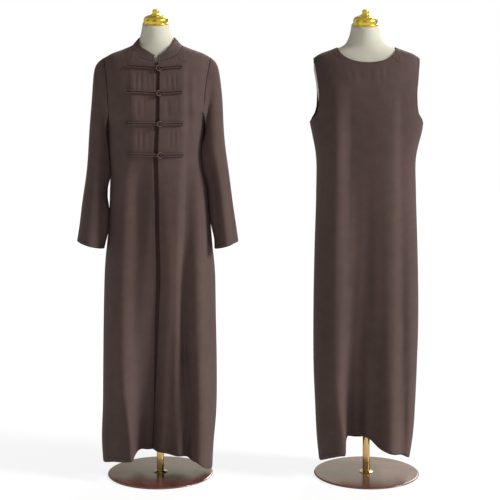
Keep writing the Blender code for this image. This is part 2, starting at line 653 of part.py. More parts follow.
def neck_edge(right, back, left):
    """Outer and inner points of the panels' neck edge, from the right front round to the left."""
    front, middle = FRONT_COLUMNS - SHOULDER_COLUMNS, BACK_COLUMNS
    edges = []
    for ahead, behind, other in ((right.outer[-1], back.outer[-1], left.outer[-1]),
                                 (right.inner[-1], back.inner[-1], left.inner[-1])):
        across = behind[middle - NECK_COLUMNS:middle + NECK_COLUMNS + 1]
        row = ahead[:front] + [(ahead[front] + across[0]) / 2] + across[1:-1]
        row += [(other[front] + across[-1]) / 2] + list(reversed(other[:front]))
        edges.append(row)
    return edges


def collar_wall(cut, right_start, left_start, edge):
    """The stand collar, seated on the panels' neck edge, from one front end round to the other."""
    low, high = cut.neck, COLLAR_TOP
    front = FRONT_COLUMNS - SHOULDER_COLUMNS
    back = NECK_COLUMNS
    stations = []
    first = math.asin(-right_start / low.half_width)
    stations += [(-neck_turn(first, k, front), "front") for k in range(front)]
    stations += [(-neck_turn(0.0, k, back), "back") for k in range(back, 0, -1)]
    stations += [(neck_turn(0.0, k, back), "back") for k in range(0, back + 1)]
    first = math.asin(left_start / low.half_width)
    stations += [(neck_turn(first, k, front), "front") for k in range(front - 1, -1, -1)]
    grid = []
    for r in range(COLLAR_ROWS + 1):
        t = r / COLLAR_ROWS
        row = []
        for index, (turn, face) in enumerate(stations):
            from_end = min(index, len(stations) - 1 - index)
            short = COLLAR_END * math.exp(-from_end)
            height = lerp(0.0, 1.0 - short, t)
            low_z = lerp(cut.neck_point_z, getattr(low, face + "_z"), math.cos(turn))
            high_z = lerp(COLLAR_SIDE_Z, getattr(high, face + "_z"), math.cos(turn))
            x = lerp(low.half_width, high.half_width, height) * math.sin(turn)
            z = lerp(low_z, high_z, height)
            row.append(cut.point(x, z, face))
        grid.append(row)
    wall = Wall(grid, Vector((0.0, 1.0, 0.0)))
    for face, seam in ((wall.outer, edge[0]), (wall.inner, edge[1])):
        for c, point in enumerate(seam):
            along = (seam[min(c + 1, len(seam) - 1)] - seam[max(c - 1, 0)]).normalized()
            up = grid[1][c] - grid[0][c]
            face[0][c] = point + (up - along * up.dot(along)).normalized() * COLLAR_SEAT
    return wall


def underlap_wall(right, left):
    """The strip behind the front opening, on the fronts' own points, set back under the left front."""
    outer, inner = [], []
    for r in range(SKIRT_ROWS + ARMHOLE_ROWS):
        face, back = [], []
        for front, c, share in ((right, 1, 0.0), (right, 0, 0.3), (left, 0, 0.8), (left, 1, 1.0)):
            out = (front.outer[r][c] - front.inner[r][c]).normalized()
            fade = min(max(UNDERLAP_TOP - front.inner[r][c].z, 0.0) / UNDERLAP_FADE, 1.0)
            point = front.inner[r][c] - out * (UNDERLAP_SEAT + UNDERLAP_SET_BACK * share * fade)
            face.append(point)
            back.append(point - out * CLOTH)
        outer.append(face)
        inner.append(back)
    for rows in (outer, inner):
        rows[0] = [lerp(low, high, UNDERLAP_HEM_SHARE) for low, high in zip(rows[0], rows[1])]
    return Wall.between(outer, inner)


def on_panels(trees, x, z):
    """The outermost point of the sewn panels at x and z, bridged where the front opening gapes."""
    hits = []
    for reach in (0.0, OPENING_BRIDGE):
        if not hits:
            hits = [tree.ray_cast(Vector((x + side * reach, -1.0, z)), Vector((0.0, 1.0, 0.0)))[0]
                    for tree in trees for side in (-1, 1)]
            hits = [hit for hit in hits if hit]
    return Vector((x, min(hit.y for hit in hits), z))


def tube(name, points, radius):
    """A round cord along a path, with closed ends."""
    work = bmesh.new()
    rings = []
    for i, point in enumerate(points):
        ahead = (points[min(i + 1, len(points) - 1)] - points[max(i - 1, 0)]).normalized()
        side = ahead.cross(Vector((0.0, -1.0, 0.0))).normalized()
        up = side.cross(ahead)
        ring = []
        for k in range(CORD_SIDES):
            turn = 2 * math.pi * (k + 0.5) / CORD_SIDES
            ring.append(work.verts.new(point + side * radius * math.cos(turn) + up * radius * math.sin(turn)))
        rings.append(ring)
    for low, high in zip(rings, rings[1:]):
        for k in range(CORD_SIDES):
            n = (k + 1) % CORD_SIDES
            work.faces.new((low[k], low[n], high[n], high[k]))
    for ring in (rings[0], rings[-1]):
        work.faces.new(ring)
    return finish_mesh(work, name)


def frog_path(frog, trees, way, reach, bight):
    """A doubled cord: out from the knot, round and back, lying on the panels."""
    half = FROG_CORD_SPACING / 2
    turn_radius = KNOT_RADIUS + FROG_CORD_RADIUS + SEAM_GAP
    near = turn_radius + FROG_CORD_RADIUS if bight else KNOT_RADIUS + SEAM_GAP
    upper = [(lerp(near, reach - FROG_KNOT_X * way, k / FROG_STEPS), half) for k in range(FROG_STEPS + 1)]
    lower = [(a, -b) for a, b in reversed(upper)]
    if bight:
        bend = [(turn_radius * math.cos(t), turn_radius * math.sin(t))
                for t in (math.radians(a) for a in BIGHT_TURNS)]
        marks = list(reversed(upper)) + bend + list(reversed(lower))
    else:
        marks = upper + [(upper[-1][0] + half, 0.0)] + lower
    points = []
    for along, across in marks:
        x = FROG_KNOT_X + way * along
        z = frog.z + frog.rise * max(along, 0.0) / reach + across
        over = min(max(-along / turn_radius * BIGHT_CLIMB, 0.0), 1.0) * (2 * FROG_CORD_RADIUS + BIGHT_GAP)
        points.append(on_panels(trees, x, z) - Vector((0.0, FROG_CORD_RADIUS + FROG_SEAT + over, 0.0)))
    return points


def knot_mesh(name, centre):
    """A small round knot, a little flattened towards the cloth."""
    work = bmesh.new()
    bmesh.ops.create_uvsphere(work, u_segments=KNOT_SIDES, v_segments=KNOT_RINGS, radius=KNOT_RADIUS)
    for vertex in work.verts:
        vertex.co = centre + Vector((vertex.co.x, vertex.co.y * KNOT_FLATNESS, vertex.co.z))
    return finish_mesh(work, name)


def frogs(trees, x):
    """Four rows of frog closures: a knotted cord, its knot and the loop that holds it."""
    for number, frog in enumerate(FROGS, 1):
        prefix = "abaya_frog_%d" % number
        paths = {
            "_knot_cord": frog_path(frog, trees, -1, FROG_REACH_RIGHT, bight=False),
            "_loop": frog_path(frog, trees, 1, FROG_REACH_LEFT, bight=True),
        }
        for part, path in paths.items():
            place(prefix + part, tube(prefix + part, path, FROG_CORD_RADIUS), "cord", x)
        hit = on_panels(trees, FROG_KNOT_X, frog.z)
        centre = hit + Vector((0.0, -(KNOT_RADIUS + SEAM_GAP), 0.0))
        place(prefix + "_knot", knot_mesh(prefix + "_knot", centre), "cord", x)


def tree_of(wall):
    """A search tree over a wall's outer face."""
    points = [p for row in wall.outer for p in row]
    columns = len(wall.outer[0])
    faces = [(r * columns + c, r * columns + c + 1, (r + 1) * columns + c + 1, (r + 1) * columns + c)
             for r in range(len(wall.outer) - 1) for c in range(columns - 1)]
    return BVHTree.FromPolygons(points, faces)


def abaya(x):
    """The abaya: two fronts, back, underlap, collar, sleeves and frogs."""
    cut = Cut(ABAYA, ABAYA_ARMHOLE, ABAYA_NECK,
              {"front": ABAYA_FRONT_HEM, "back": ABAYA_BACK_HEM},
              {"front": ABAYA_FRONT_FOLDS, "back": ABAYA_BACK_FOLDS})
    right_edge, left_edge = Table(RIGHT_FRONT_EDGE), Table(LEFT_FRONT_EDGE)
    rows = SKIRT_ROWS + ARMHOLE_ROWS + 1
    ahead, behind = Vector((0.0, -1.0, 0.0)), Vector((0.0, 1.0, 0.0))
    marks = seam_marks(rows, FRONT_COLUMNS + 1, [FRONT_COLUMNS])
    right = Wall(cut.half("front", -1, FRONT_COLUMNS, lambda z: -right_edge.at(z, "x")), ahead, square=marks)
    left = Wall(cut.half("front", 1, FRONT_COLUMNS, lambda z: left_edge.at(z, "x")), ahead, square=marks)
    marks = seam_marks(rows, 2 * BACK_COLUMNS + 1, [0, 2 * BACK_COLUMNS])
    back = Wall(cut.whole("back", BACK_COLUMNS), behind, square=marks)
    place("abaya_front_right", right.mesh("abaya_front_right"), "cloth", x)
    place("abaya_front_left", left.mesh("abaya_front_left"), "cloth", x)
    place("abaya_back", back.mesh("abaya_back"), "cloth", x)
    place("abaya_underlap", underlap_wall(right, left).mesh("abaya_underlap"), "cloth", x)
    neck = ABAYA_NECK.front_z
    collar = collar_wall(cut, right_edge.at(neck, "x"), left_edge.at(neck, "x"), neck_edge(right, back, left))
    place("abaya_collar", collar.mesh("abaya_collar"), "cloth", x)
    for name, front, column, rings, way in (("right", right, 0, SLEEVE_RIGHT, -1),
                                            ("left", left, 2 * BACK_COLUMNS, SLEEVE_LEFT, 1)):
        sleeve = sleeve_wall(front, FRONT_COLUMNS, back, column, rings, way)
        place("abaya_sleeve_" + name, sleeve.mesh("abaya_sleeve_" + name), "cloth", x)
    frogs([tree_of(right), tree_of(left)], x)


def dress(x, lean):
    """The sleeveless dress: front and back."""
    cut = Cut(DRESS, DRESS_ARMHOLE, DRESS_NECK,
              {"front": DRESS_FRONT_HEM, "back": DRESS_BACK_HEM},
              {"front": DRESS_FRONT_FOLDS, "back": DRESS_BACK_FOLDS})
    rows = SKIRT_ROWS + ARMHOLE_ROWS + 1
    for face, columns, away in (("front", FRONT_COLUMNS, -1.0), ("back", BACK_COLUMNS, 1.0)):
        marks = seam_marks(rows, 2 * columns + 1, [0, 2 * columns])
        wall = Wall(cut.whole(face, columns), Vector((0.0, away, 0.0)), square=marks)
        place("dress_" + face, wall.mesh("dress_" + face), "cloth", x, lean)


def centre_all():
    """Moves the set so that its origin is under the middle of its box, on the floor."""
    corners = [v.co for item in bpy.context.scene.objects for v in item.data.vertices]
    middle = Vector([(min(c[i] for c in corners) + max(c[i] for c in corners)) / 2 for i in range(3)])
    middle.z = min(c.z for c in corners)
    for item in bpy.context.scene.objects:
        for vertex in item.data.vertices:
            vertex.co -= middle


def main():
    """Builds both forms and both garments in an empty scene."""
    for item in list(bpy.data.objects):
        bpy.data.objects.remove(item, do_unlink=True)
    dress_form("abaya", ABAYA_FORM_X, 0.0)
    dress_form("dress", DRESS_FORM_X, DRESS_LEAN)
    abaya(ABAYA_FORM_X)
    dress(DRESS_FORM_X, DRESS_LEAN)
    centre_all()


main()
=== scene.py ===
"""Looks of the abaya set: an open-front abaya and a sleeveless dress, each on its own dress form.

Metres, +Z up, the garments face -Y. Right and left are the wearer's right and left. A place on a
garment is given as its distance from the garment's centre line and its height above the floor.
"""

import logging
import math
from collections.abc import Sequence
from dataclasses import dataclass, field
from enum import Enum
from functools import cache

import bmesh
import bpy
import numpy as np
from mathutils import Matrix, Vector
from mathutils.bvhtree import BVHTree


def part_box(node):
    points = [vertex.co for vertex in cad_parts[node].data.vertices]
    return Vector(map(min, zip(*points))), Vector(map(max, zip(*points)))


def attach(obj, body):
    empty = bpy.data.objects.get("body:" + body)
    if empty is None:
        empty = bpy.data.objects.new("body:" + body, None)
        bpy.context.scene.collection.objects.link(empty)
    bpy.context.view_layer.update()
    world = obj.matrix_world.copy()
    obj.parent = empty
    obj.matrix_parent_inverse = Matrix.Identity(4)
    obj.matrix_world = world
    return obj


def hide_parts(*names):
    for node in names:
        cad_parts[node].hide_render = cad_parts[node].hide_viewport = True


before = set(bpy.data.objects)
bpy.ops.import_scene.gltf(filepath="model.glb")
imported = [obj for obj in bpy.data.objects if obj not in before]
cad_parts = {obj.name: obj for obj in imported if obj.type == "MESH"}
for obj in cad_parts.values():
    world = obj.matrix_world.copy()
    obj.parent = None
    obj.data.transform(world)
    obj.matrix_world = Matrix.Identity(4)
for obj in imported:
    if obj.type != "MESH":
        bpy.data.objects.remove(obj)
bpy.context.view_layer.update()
LOG = logging.getLogger("abaya_set")

# Cloth walls: their thickness, the widest face of a rim, and the sharp bends of cloth, cord and metal
CLOTH = 0.0020
RIM_WIDTH = 1.3 * CLOTH
RIM_ANGLE = math.radians(50)
CORD_ANGLE = math.radians(60)
METAL_ANGLE = math.radians(40)
# Points nearer than this are one, how often a fine surface is fitted to its rough one, and how
# often the faces of cloth, cords and torsos are divided
MERGE = 1e-5
FIT_ROUNDS = 4
CLOTH_LEVEL = 3
CORD_LEVEL = 2
TORSO_LEVEL = 2
# How far a rim's marks reach, and how far from a seam the creases fade
BAND = 0.030
HELD_FADE = 0.030
# Room kept ahead of cloth that moves, and moves too short to be tested
CLEAR = 0.0020
SHORT_MOVE = 0.001
# What is nearer than this is sewn on, a rim has more points, and a piece further aside has one side
SKIN = 0.0030
SHORTEST_RIM = 12
ONE_SIDED = 0.03
# A rim's face looks a way from this share of its normal on
LOOKS = 0.5
# How much looking upwards counts where cloth's outer side is told from its inner one
UPWARDS = 0.05
# Where slices of a sleeve are measured, how far below its top its creases begin, and its least radius
SLICES = 24
SLICE_REACH = 0.03
SLEEVE_FADE = 0.12
LEAST_RADIUS = 0.01
# Sewing: depth of a turned hem and of a pressed edge, how far thread stands off, length of a tack
HEM_DEPTH = 0.013
EDGE_DEPTH = 0.0055
THREAD_LIFT = 0.00012
TACK_REACH = 0.004
TACK_LIFT = 0.0002
# How much painted shade darkens a hem's stitch line and a seam's groove
HEM_LINE_SHADE = 0.16
SEAM_GROOVE_SHADE = 0.06
# Crepe: cells a metre of its bent yarns, its pebbles, and its slow and finer changes of tone
YARN_CELLS, PEBBLE_CELLS, SLOW_CELLS, FINE_CELLS = 240.0, 620.0, 2.6, 26.0
YARN_BEND = 9.0
# Metal: cells a metre of its rubbing, its brushed lines and its dust, and how long the lines are
RUB_CELLS, BRUSH_CELLS, DUST_CELLS = 18.0, 90.0, 420.0
BRUSH_STRETCH = 14.0
# How far cloth's roughness goes up and down with its tone
ROUGH_SPAN = 0.03
# Most of the way to the next corner that a corner's rounding takes
ROUND_SHARE = 0.49
# How far the dress's centre line moves over with each metre of height
DRESS_LEAN = -0.0147
# Middle of the neck cap above its foot
CAP_MIDDLE = 0.0265
# The camera stands on the centre line of the photograph, in front of the left form's base
CAMERA_PLACE = (0.3116, -4.62)
CAMERA_HEIGHT = 1.468
CAMERA_PITCH = math.radians(81.6)
CAMERA_LENS = 98.9
CAMERA_SENSOR = 36.0
WHITE = (1.0, 1.0, 1.0, 1.0)

Colour = tuple[float, float, float]
Item = bpy.types.Object
Mesh = bpy.types.Mesh
Socket = bpy.types.NodeSocket
Tree = bpy.types.NodeTree


class Slot(Enum):
    """The record's material slots."""

    CLOTH = "cloth"
    CORD = "cord"
    FORM_CLOTH = "form_cloth"
    GILT = "gilt"
    BRASS = "brass"
    BRONZE = "bronze"


class Rim(Enum):
    """What a cloth edge is, with the name of the attribute that tells how near it is."""

    HEM = "hem_band"
    FRONT_EDGE = "edge_band"
    SEWN = "seam_band"


class Face(Enum):
    """The side of the body that a piece hangs on, with the way its cloth faces along Y."""

    FRONT = -1.0
    BACK = 1.0


class Board:
    """A node tree that is filled node by node."""

    def __init__(self, tree: Tree) -> None:
        """Keeps the tree that the nodes go into."""
        self.tree = tree

    def plug(self, value: object, socket: Socket) -> None:
        """Links an output socket to an input, or sets the input to a plain value.

        Args:
            value: the output socket or the value.
            socket: the input.
        """
        if isinstance(value, Socket):
            self.tree.links.new(value, socket)
        else:
            socket.default_value = value

    def feed(self, node: bpy.types.Node, **inputs: object) -> bpy.types.Node:
        """Feeds a node's inputs.

        Args:
            node: the node.
            inputs: a socket or a value for each input; an underscore in a name is a space.
        Returns:
            The same node.
        """
        for name, value in inputs.items():
            self.plug(value, node.inputs[name.replace("_", " ")])
        return node

    def add(self, kind: str, settings: dict[str, object] | None = None, **inputs: object) -> bpy.types.Node:
        """Adds a node.

        Args:
            kind: Blender's name for the node type.
            settings: its properties, by name.
            inputs: what feeds it, as in feed.
        Returns:
            The new node.
        """
        node = self.tree.nodes.new(kind)
        for name, value in (settings or {}).items():
            setattr(node, name, value)
        return self.feed(node, **inputs)

    def math(self, operation: str, *values: object) -> Socket:
        """The result of a math node.

        Args:
            operation: Blender's name for the operation.
            values: up to three sockets or numbers.
        Returns:
            The result's socket.
        """
        node = self.add("ShaderNodeMath", {"operation": operation})
        for socket, value in zip(node.inputs, values):
            self.plug(value, socket)
        return node.outputs[0]

    def blend(self, first: Socket, share: float, second: Socket) -> Socket:
        """The share of the first value and the rest of the second one."""
        return self.math("ADD", self.math("MULTIPLY", first, share),
                         self.math("MULTIPLY", second, 1.0 - share))

    def noise(self, place: Socket, cells: float, detail: float, roughness: float) -> Socket:
        """A noise's value, from its cells a metre and the number and strength of its finer layers."""
        return self.add("ShaderNodeTexNoise", Vector=place, Scale=cells, Detail=detail,
                        Roughness=roughness).outputs["Fac"]

    def between(self, value: Socket, low: float, high: float, to_low: float = 0.0,
                to_high: float = 1.0) -> Socket:
        """A value carried from the range low to high to a new range, and held at its ends."""
        return self.add("ShaderNodeMapRange", {"interpolation_type": "SMOOTHSTEP"}, Value=value, From_Min=low,
                        From_Max=high, To_Min=to_low, To_Max=to_high).outputs[0]

    def mix(self, share: Socket, first: tuple[float, ...], second: tuple[float, ...]) -> Socket:
        """A colour between two colours.

        Args:
            share: the share of the second colour.
            first: the first colour.
            second: the second colour.
        Returns:
            The mixed colour.
        """
        node = self.add("ShaderNodeMix", {"data_type": "RGBA"})
        for index, value in ((0, share), (6, first), (7, second)):
            self.plug(value, node.inputs[index])
        return node.outputs[2]

    def scaled(self, colour: Socket, share: Socket) -> Socket:
        """A colour made brighter or darker."""
        return self.add("ShaderNodeVectorMath", {"operation": "SCALE"}, Vector=colour, Scale=share).outputs[0]

    def bump(self, height: Socket, distance: float, strength: float = 1.0, **under: Socket) -> Socket:
        """A normal raised by a height, over another Normal where that is given."""
        return self.add("ShaderNodeBump", Strength=strength, Distance=distance, Height=height,
                        **under).outputs["Normal"]


def new_group(name: str, inputs: Sequence[str], outputs: Sequence[str]) -> tuple[Board, list[Socket]]:
    """An empty shader node group with named sockets.

    Args:
        name: the group's name.
        inputs: names of its inputs; Vector is a place and the others are numbers.
        outputs: names of its outputs, which are numbers.
    Returns:
        The board of its tree, and the sockets that bring its inputs.
    """
    board = Board(bpy.data.node_groups.new(name, "ShaderNodeTree"))
    for way, sockets in (("INPUT", inputs), ("OUTPUT", outputs)):
        for socket in sockets:
            kind = "NodeSocketVector" if socket == "Vector" else "NodeSocketFloat"
            board.tree.interface.new_socket(socket, in_out=way, socket_type=kind)
    source = board.add("NodeGroupInput")
    return board, [source.outputs[socket] for socket in inputs]


@cache
def crepe_grain() -> Tree:
    """The pebbled surface of crepe: a crinkled weave, with slow changes of tone.

    Returns:
        The shader node group.
    """
    board, (place, threads, crinkle) = new_group("crepe_grain", ("Vector", "Threads", "Crinkle"),
                                                 ("Height", "Tone", "Fuzz"))
    bend = board.noise(place, YARN_CELLS, 3.0, 0.6)
    parts = board.add("ShaderNodeSeparateXYZ", Vector=place).outputs
    turn = board.math("MULTIPLY", threads, math.tau)
    wobble = board.math("MULTIPLY", bend, board.math("MULTIPLY", crinkle, YARN_BEND))
    across = board.math("ADD", parts["X"], parts["Y"])
    warp = board.math("SINE", board.math("MULTIPLY_ADD", across, turn, wobble))
    weft = board.math("SINE", board.math("MULTIPLY_ADD", parts["Z"], turn, wobble))
    weave = board.math("MULTIPLY_ADD", board.math("MULTIPLY", warp, weft), 0.25, 0.5)
    pebble = board.noise(place, PEBBLE_CELLS, 2.0, 0.6)
    height = board.blend(weave, 0.45, pebble)
    slow = board.noise(place, SLOW_CELLS, 3.0, 0.55)
    tone = board.blend(slow, 0.6, board.noise(place, FINE_CELLS, 3.0, 0.6))
    board.add("NodeGroupOutput", Height=height, Tone=board.between(tone, 0.33, 0.67), Fuzz=pebble)
    return board.tree


@cache
def sewn_marks() -> Tree:
    """The relief that sewing leaves: seam grooves, pressed edges and the step of a turned hem, with painted
    shade along a hem's stitch line and in the seam grooves.

    Returns:
        The shader node group, which reads how near each kind of rim is.
    """
    board, (hem, edge, seam) = new_group("sewn_marks", [kind.name.replace("_", " ") for kind in Rim],
                                         ("Tone", "Height"))
    fold = 1.0 - HEM_DEPTH / BAND
    press = 1.0 - EDGE_DEPTH / BAND
    step = board.between(hem, fold - 0.02, fold + 0.03)
    line = board.math("MULTIPLY", board.between(hem, fold - 0.06, fold),
                      board.between(hem, fold, fold + 0.06, 1.0, 0.0))
    rolled = board.between(edge, press - 0.03, press + 0.03)
    groove = board.between(seam, 0.90, 0.99)
    # Painted shade: the colour darkens along the hem's stitch line and in the seam's groove
    tone = board.math("MULTIPLY", board.math("MULTIPLY_ADD", line, -HEM_LINE_SHADE, 1.0),
                      board.math("MULTIPLY_ADD", groove, -SEAM_GROOVE_SHADE, 1.0))
    raised = board.math("ADD", step, board.math("MULTIPLY", rolled, 0.5))
    board.add("NodeGroupOutput", Tone=tone, Height=board.math("SUBTRACT", raised, groove))
    return board.tree


@cache
def polish_marks() -> Tree:
    """Faint rubbing and dust on polished metal.

    Returns:
        The shader node group.
    """
    board, (place, rough, wear) = new_group("polish_marks", ("Vector", "Roughness", "Wear"),
                                            ("Roughness", "Tone", "Height"))
    stretch = board.add("ShaderNodeMapping", Vector=place, Scale=(1.0, 1.0, BRUSH_STRETCH)).outputs[0]
    lines = board.noise(stretch, BRUSH_CELLS, 3.0, 0.7)
    specks = board.between(board.noise(place, DUST_CELLS, 1.0, 0.5), 0.66, 0.74)
    tone = board.between(board.blend(board.noise(place, RUB_CELLS, 4.0, 0.6), 0.6, lines), 0.35, 0.68)
    worn = board.math("MULTIPLY", wear, board.math("ADD", tone, board.math("MULTIPLY", specks, 0.7)))
    board.add("NodeGroupOutput", Roughness=board.math("ADD", rough, worn), Tone=tone, Height=lines)
    return board.tree


@dataclass(frozen=True)
class Finish:
    """A finish.

    Attributes:
        name: its material's name.
        slot: the record's slot that it stands for; not used.
        dark: its darker tone, linear.
        light: its lighter tone, linear.
        roughness: how matt it is.
    """

    name: str
    slot: Slot
    dark: Colour
    light: Colour
    roughness: float

    @cache
    def material(self) -> bpy.types.Material:
        """The finish's material, made once.

        Returns:
            The material.
        """
        made = bpy.data.materials.new(self.name)
        made.use_nodes = True
        board = Board(made.node_tree)
        look = self.look(board, board.add("ShaderNodeTexCoord").outputs["Object"])
        board.feed(made.node_tree.nodes["Principled BSDF"], **look)
        return made

    def look(self, board: Board, place: Socket) -> dict[str, object]:
        """What feeds its shader, which each kind of finish has of its own."""
        raise NotImplementedError

    def tones(self, board: Board, share: Socket) -> Socket:
        """Its colour, from the share of its lighter tone."""
        return board.mix(share, (*self.dark, 1.0), (*self.light, 1.0))


@dataclass(frozen=True)
class ClothFinish(Finish):
    """A cloth finish: crepe or jersey.

    Attributes:
        sheen: how much light its fuzz catches.
        sheen_tint: the colour of that light.
        threads: threads a metre.
        crinkle: how far the yarns wander.
        relief: depth of the grain.
        specular: how strongly it mirrors.
    """

    sheen: float
    sheen_tint: Colour
    threads: float
    crinkle: float
    relief: float
    specular: float = 0.35

    def look(self, board: Board, place: Socket) -> dict[str, object]:
        """What feeds its shader.

        Args:
            board: the material's nodes.
            place: where its patterns are read.
        Returns:
            A socket or a value for each input.
        """
        grain = board.add("ShaderNodeGroup", {"node_tree": crepe_grain()}, Vector=place, Threads=self.threads,
                          Crinkle=self.crinkle)
        tint = board.scaled(self.tones(board, grain.outputs["Tone"]),
                            board.between(grain.outputs["Fuzz"], 0.3, 0.7, 0.90, 1.08))
        sewn = board.add("ShaderNodeGroup", {"node_tree": sewn_marks()})
        for kind in Rim:
            near = board.add("ShaderNodeAttribute", {"attribute_name": kind.value}).outputs["Fac"]
            board.feed(sewn, **{kind.name: near})
        fold = board.bump(sewn.outputs["Height"], 0.0008)
        # The base colour carries the painted shade of hem lines and seam grooves
        return {
            "Base_Color": board.scaled(tint, sewn.outputs["Tone"]),
            "Roughness": board.between(grain.outputs["Tone"], 0.0, 1.0, self.roughness - ROUGH_SPAN,
                                       self.roughness + ROUGH_SPAN),
            "Normal": board.bump(grain.outputs["Height"], self.relief, Normal=fold),
            "Sheen_Weight": self.sheen, "Sheen_Roughness": 0.45, "Sheen_Tint": (*self.sheen_tint, 1.0),
            "Specular_IOR_Level": self.specular,
        }


@dataclass(frozen=True)
class MetalFinish(Finish):
    """A polished metal finish.

    Attributes:
        wear: how much rubbing adds to its roughness.
        metallic: below one where a coloured lacquer lies over the metal.
        specular: how strongly that lacquer mirrors.
    """

    wear: float
    metallic: float = 1.0
    specular: float = 0.5

    def look(self, board: Board, place: Socket) -> dict[str, object]:
        """What feeds its shader.

        Args:
            board: the material's nodes.
            place: where its patterns are read.
        Returns:
            A socket or a value for each input.
        """
        marks = board.add("ShaderNodeGroup", {"node_tree": polish_marks()}, Vector=place,
                          Roughness=self.roughness, Wear=self.wear).outputs
        return {"Base_Color": self.tones(board, marks["Tone"]), "Roughness": marks["Roughness"],
                "Metallic": self.metallic, "Specular_IOR_Level": self.specular,
                "Normal": board.bump(marks["Height"], 0.00002, 0.3)}


CREPE_SHEEN = (0.80, 0.66, 0.58)
CREPE = ClothFinish("taupe_crepe", Slot.CLOTH, (0.074, 0.047, 0.042), (0.095, 0.061, 0.0535), 0.80, 0.06,
                    CREPE_SHEEN, 1500.0, 1.0, 0.00016, 0.13)
ROULEAU = ClothFinish("rouleau_crepe", Slot.CORD, (0.074, 0.046, 0.041), (0.094, 0.060, 0.053), 0.75, 0.06,
                      CREPE_SHEEN, 1900.0, 0.8, 0.00010, 0.13)
# Painted shade: the knots are the same crepe as the cords, coloured darker to stand in for the shade in a
# knot's turns
SHADED_KNOT_CREPE = ClothFinish("knotted_crepe", Slot.CORD, (0.036, 0.021, 0.018), (0.050, 0.030, 0.026), 0.66, 0.03,
                      CREPE_SHEEN, 1900.0, 0.8, 0.00010, 0.08)
# Painted shade: the underlap is the same crepe, coloured darker to stand in for the shadow in the gap between
# the fronts
SHADED_UNDERLAP = ClothFinish("underlap_crepe", Slot.CLOTH, (0.038, 0.021, 0.018), (0.050, 0.028, 0.024), 0.66, 0.03,
                       CREPE_SHEEN, 1500.0, 1.0, 0.00012, 0.08)
THREAD = ClothFinish("sewing_thread", Slot.CORD, (0.040, 0.026, 0.023), (0.070, 0.047, 0.041), 0.65, 0.10,
                     (0.80, 0.70, 0.62), 4000.0, 0.3, 0.00003)
JERSEY = ClothFinish("cream_jersey", Slot.FORM_CLOTH, (0.555, 0.530, 0.430), (0.630, 0.600, 0.495), 0.82,
                     0.05, (1.0, 0.97, 0.90), 1100.0, 0.25, 0.00010, 0.20)
GILT = MetalFinish("gilt_cap", Slot.GILT, (0.600, 0.400, 0.045), (0.800, 0.580, 0.110), 0.24, 0.14)
BRASS = MetalFinish("brass_tube", Slot.BRASS, (0.580, 0.380, 0.140), (0.720, 0.500, 0.220), 0.14, 0.05)
BRONZE = MetalFinish("dark_bronze", Slot.BRONZE, (0.150, 0.052, 0.040), (0.210, 0.082, 0.062), 0.18, 0.08,
                     0.25, 1.0)


def points_of(mesh: Mesh) -> np.ndarray:
    """A mesh's points.

    Args:
        mesh: the mesh.
    Returns:
        Its points, one row each.
    """
    flat = np.zeros(len(mesh.vertices) * 3)
    mesh.vertices.foreach_get("co", flat)
    return flat.reshape(-1, 3)


def set_points(mesh: Mesh, points: np.ndarray) -> None:
    """Puts new points into a mesh."""
    mesh.vertices.foreach_set("co", points.astype(np.float32).ravel())
    mesh.update()


def frame_middle(node: str) -> Vector:
    """Middle of a CAD node's box."""
    low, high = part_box(node)
    return (low + high) / 2


def merged_copy(node: str) -> bmesh.types.BMesh:
    """A CAD node's mesh with its double points merged.

    Args:
        node: the node's name.
    Returns:
        A new working mesh.
    """
    work = bmesh.new()
    work.from_mesh(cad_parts[node].data)
    bmesh.ops.remove_doubles(work, verts=work.verts, dist=MERGE)
    return work


def mesh_from(work: bmesh.types.BMesh, name: str) -> Mesh:
    """A named mesh of what was worked on.

    Args:
        work: the working mesh, which is freed.
        name: the mesh's name.
    Returns:
        The new mesh.
    """
    mesh = bpy.data.meshes.new(name)
    work.to_mesh(mesh)
    work.free()
    return mesh


def tree_of(item: Item) -> BVHTree:
    """A search tree of an object's faces."""
    return BVHTree.FromPolygons([vertex.co for vertex in item.data.vertices],
                                [tuple(face.vertices) for face in item.data.polygons])


def face_width(face: bmesh.types.BMFace) -> float:
    """A face's width across its longest edge."""
    return face.calc_area() / max(edge.calc_length() for edge in face.edges)


def control_mesh(node: str, thin_rims: bool = False) -> Mesh:
    """A merged copy of a CAD node's mesh, in quads, with its sharp edges marked.

    Args:
        node: the CAD node's name.
        thin_rims: keeps only the edges of a cloth wall's rims sharp.
    Returns:
        The new mesh.
    """
    work = merged_copy(node)
    bmesh.ops.join_triangles(work, faces=work.faces, angle_face_threshold=math.pi,
                             angle_shape_threshold=math.pi, topology_influence=1.0)
    work.edges.layers.float.new("crease_edge")
    crease = work.edges.layers.float["crease_edge"]
    for edge in work.edges:
        bends = edge.calc_face_angle(0.0) > RIM_ANGLE
        if bends and (not thin_rims or min(face_width(face) for face in edge.link_faces) < RIM_WIDTH):
            edge[crease] = 1.0
    return mesh_from(work, node + "_control")


def evaluated(item: Item) -> Mesh:
    """A plain mesh of an object as its modifiers make it."""
    graph = bpy.context.evaluated_depsgraph_get()
    return bpy.data.meshes.new_from_object(item.evaluated_get(graph))


def link(name: str, content: bpy.types.ID) -> Item:
    """A new object at the origin that shows a mesh, a light or a camera.

    Args:
        name: its name.
        content: what it shows.
    Returns:
        The object.
    """
    item = bpy.data.objects.new(name, content)
    bpy.context.scene.collection.objects.link(item)
    return item


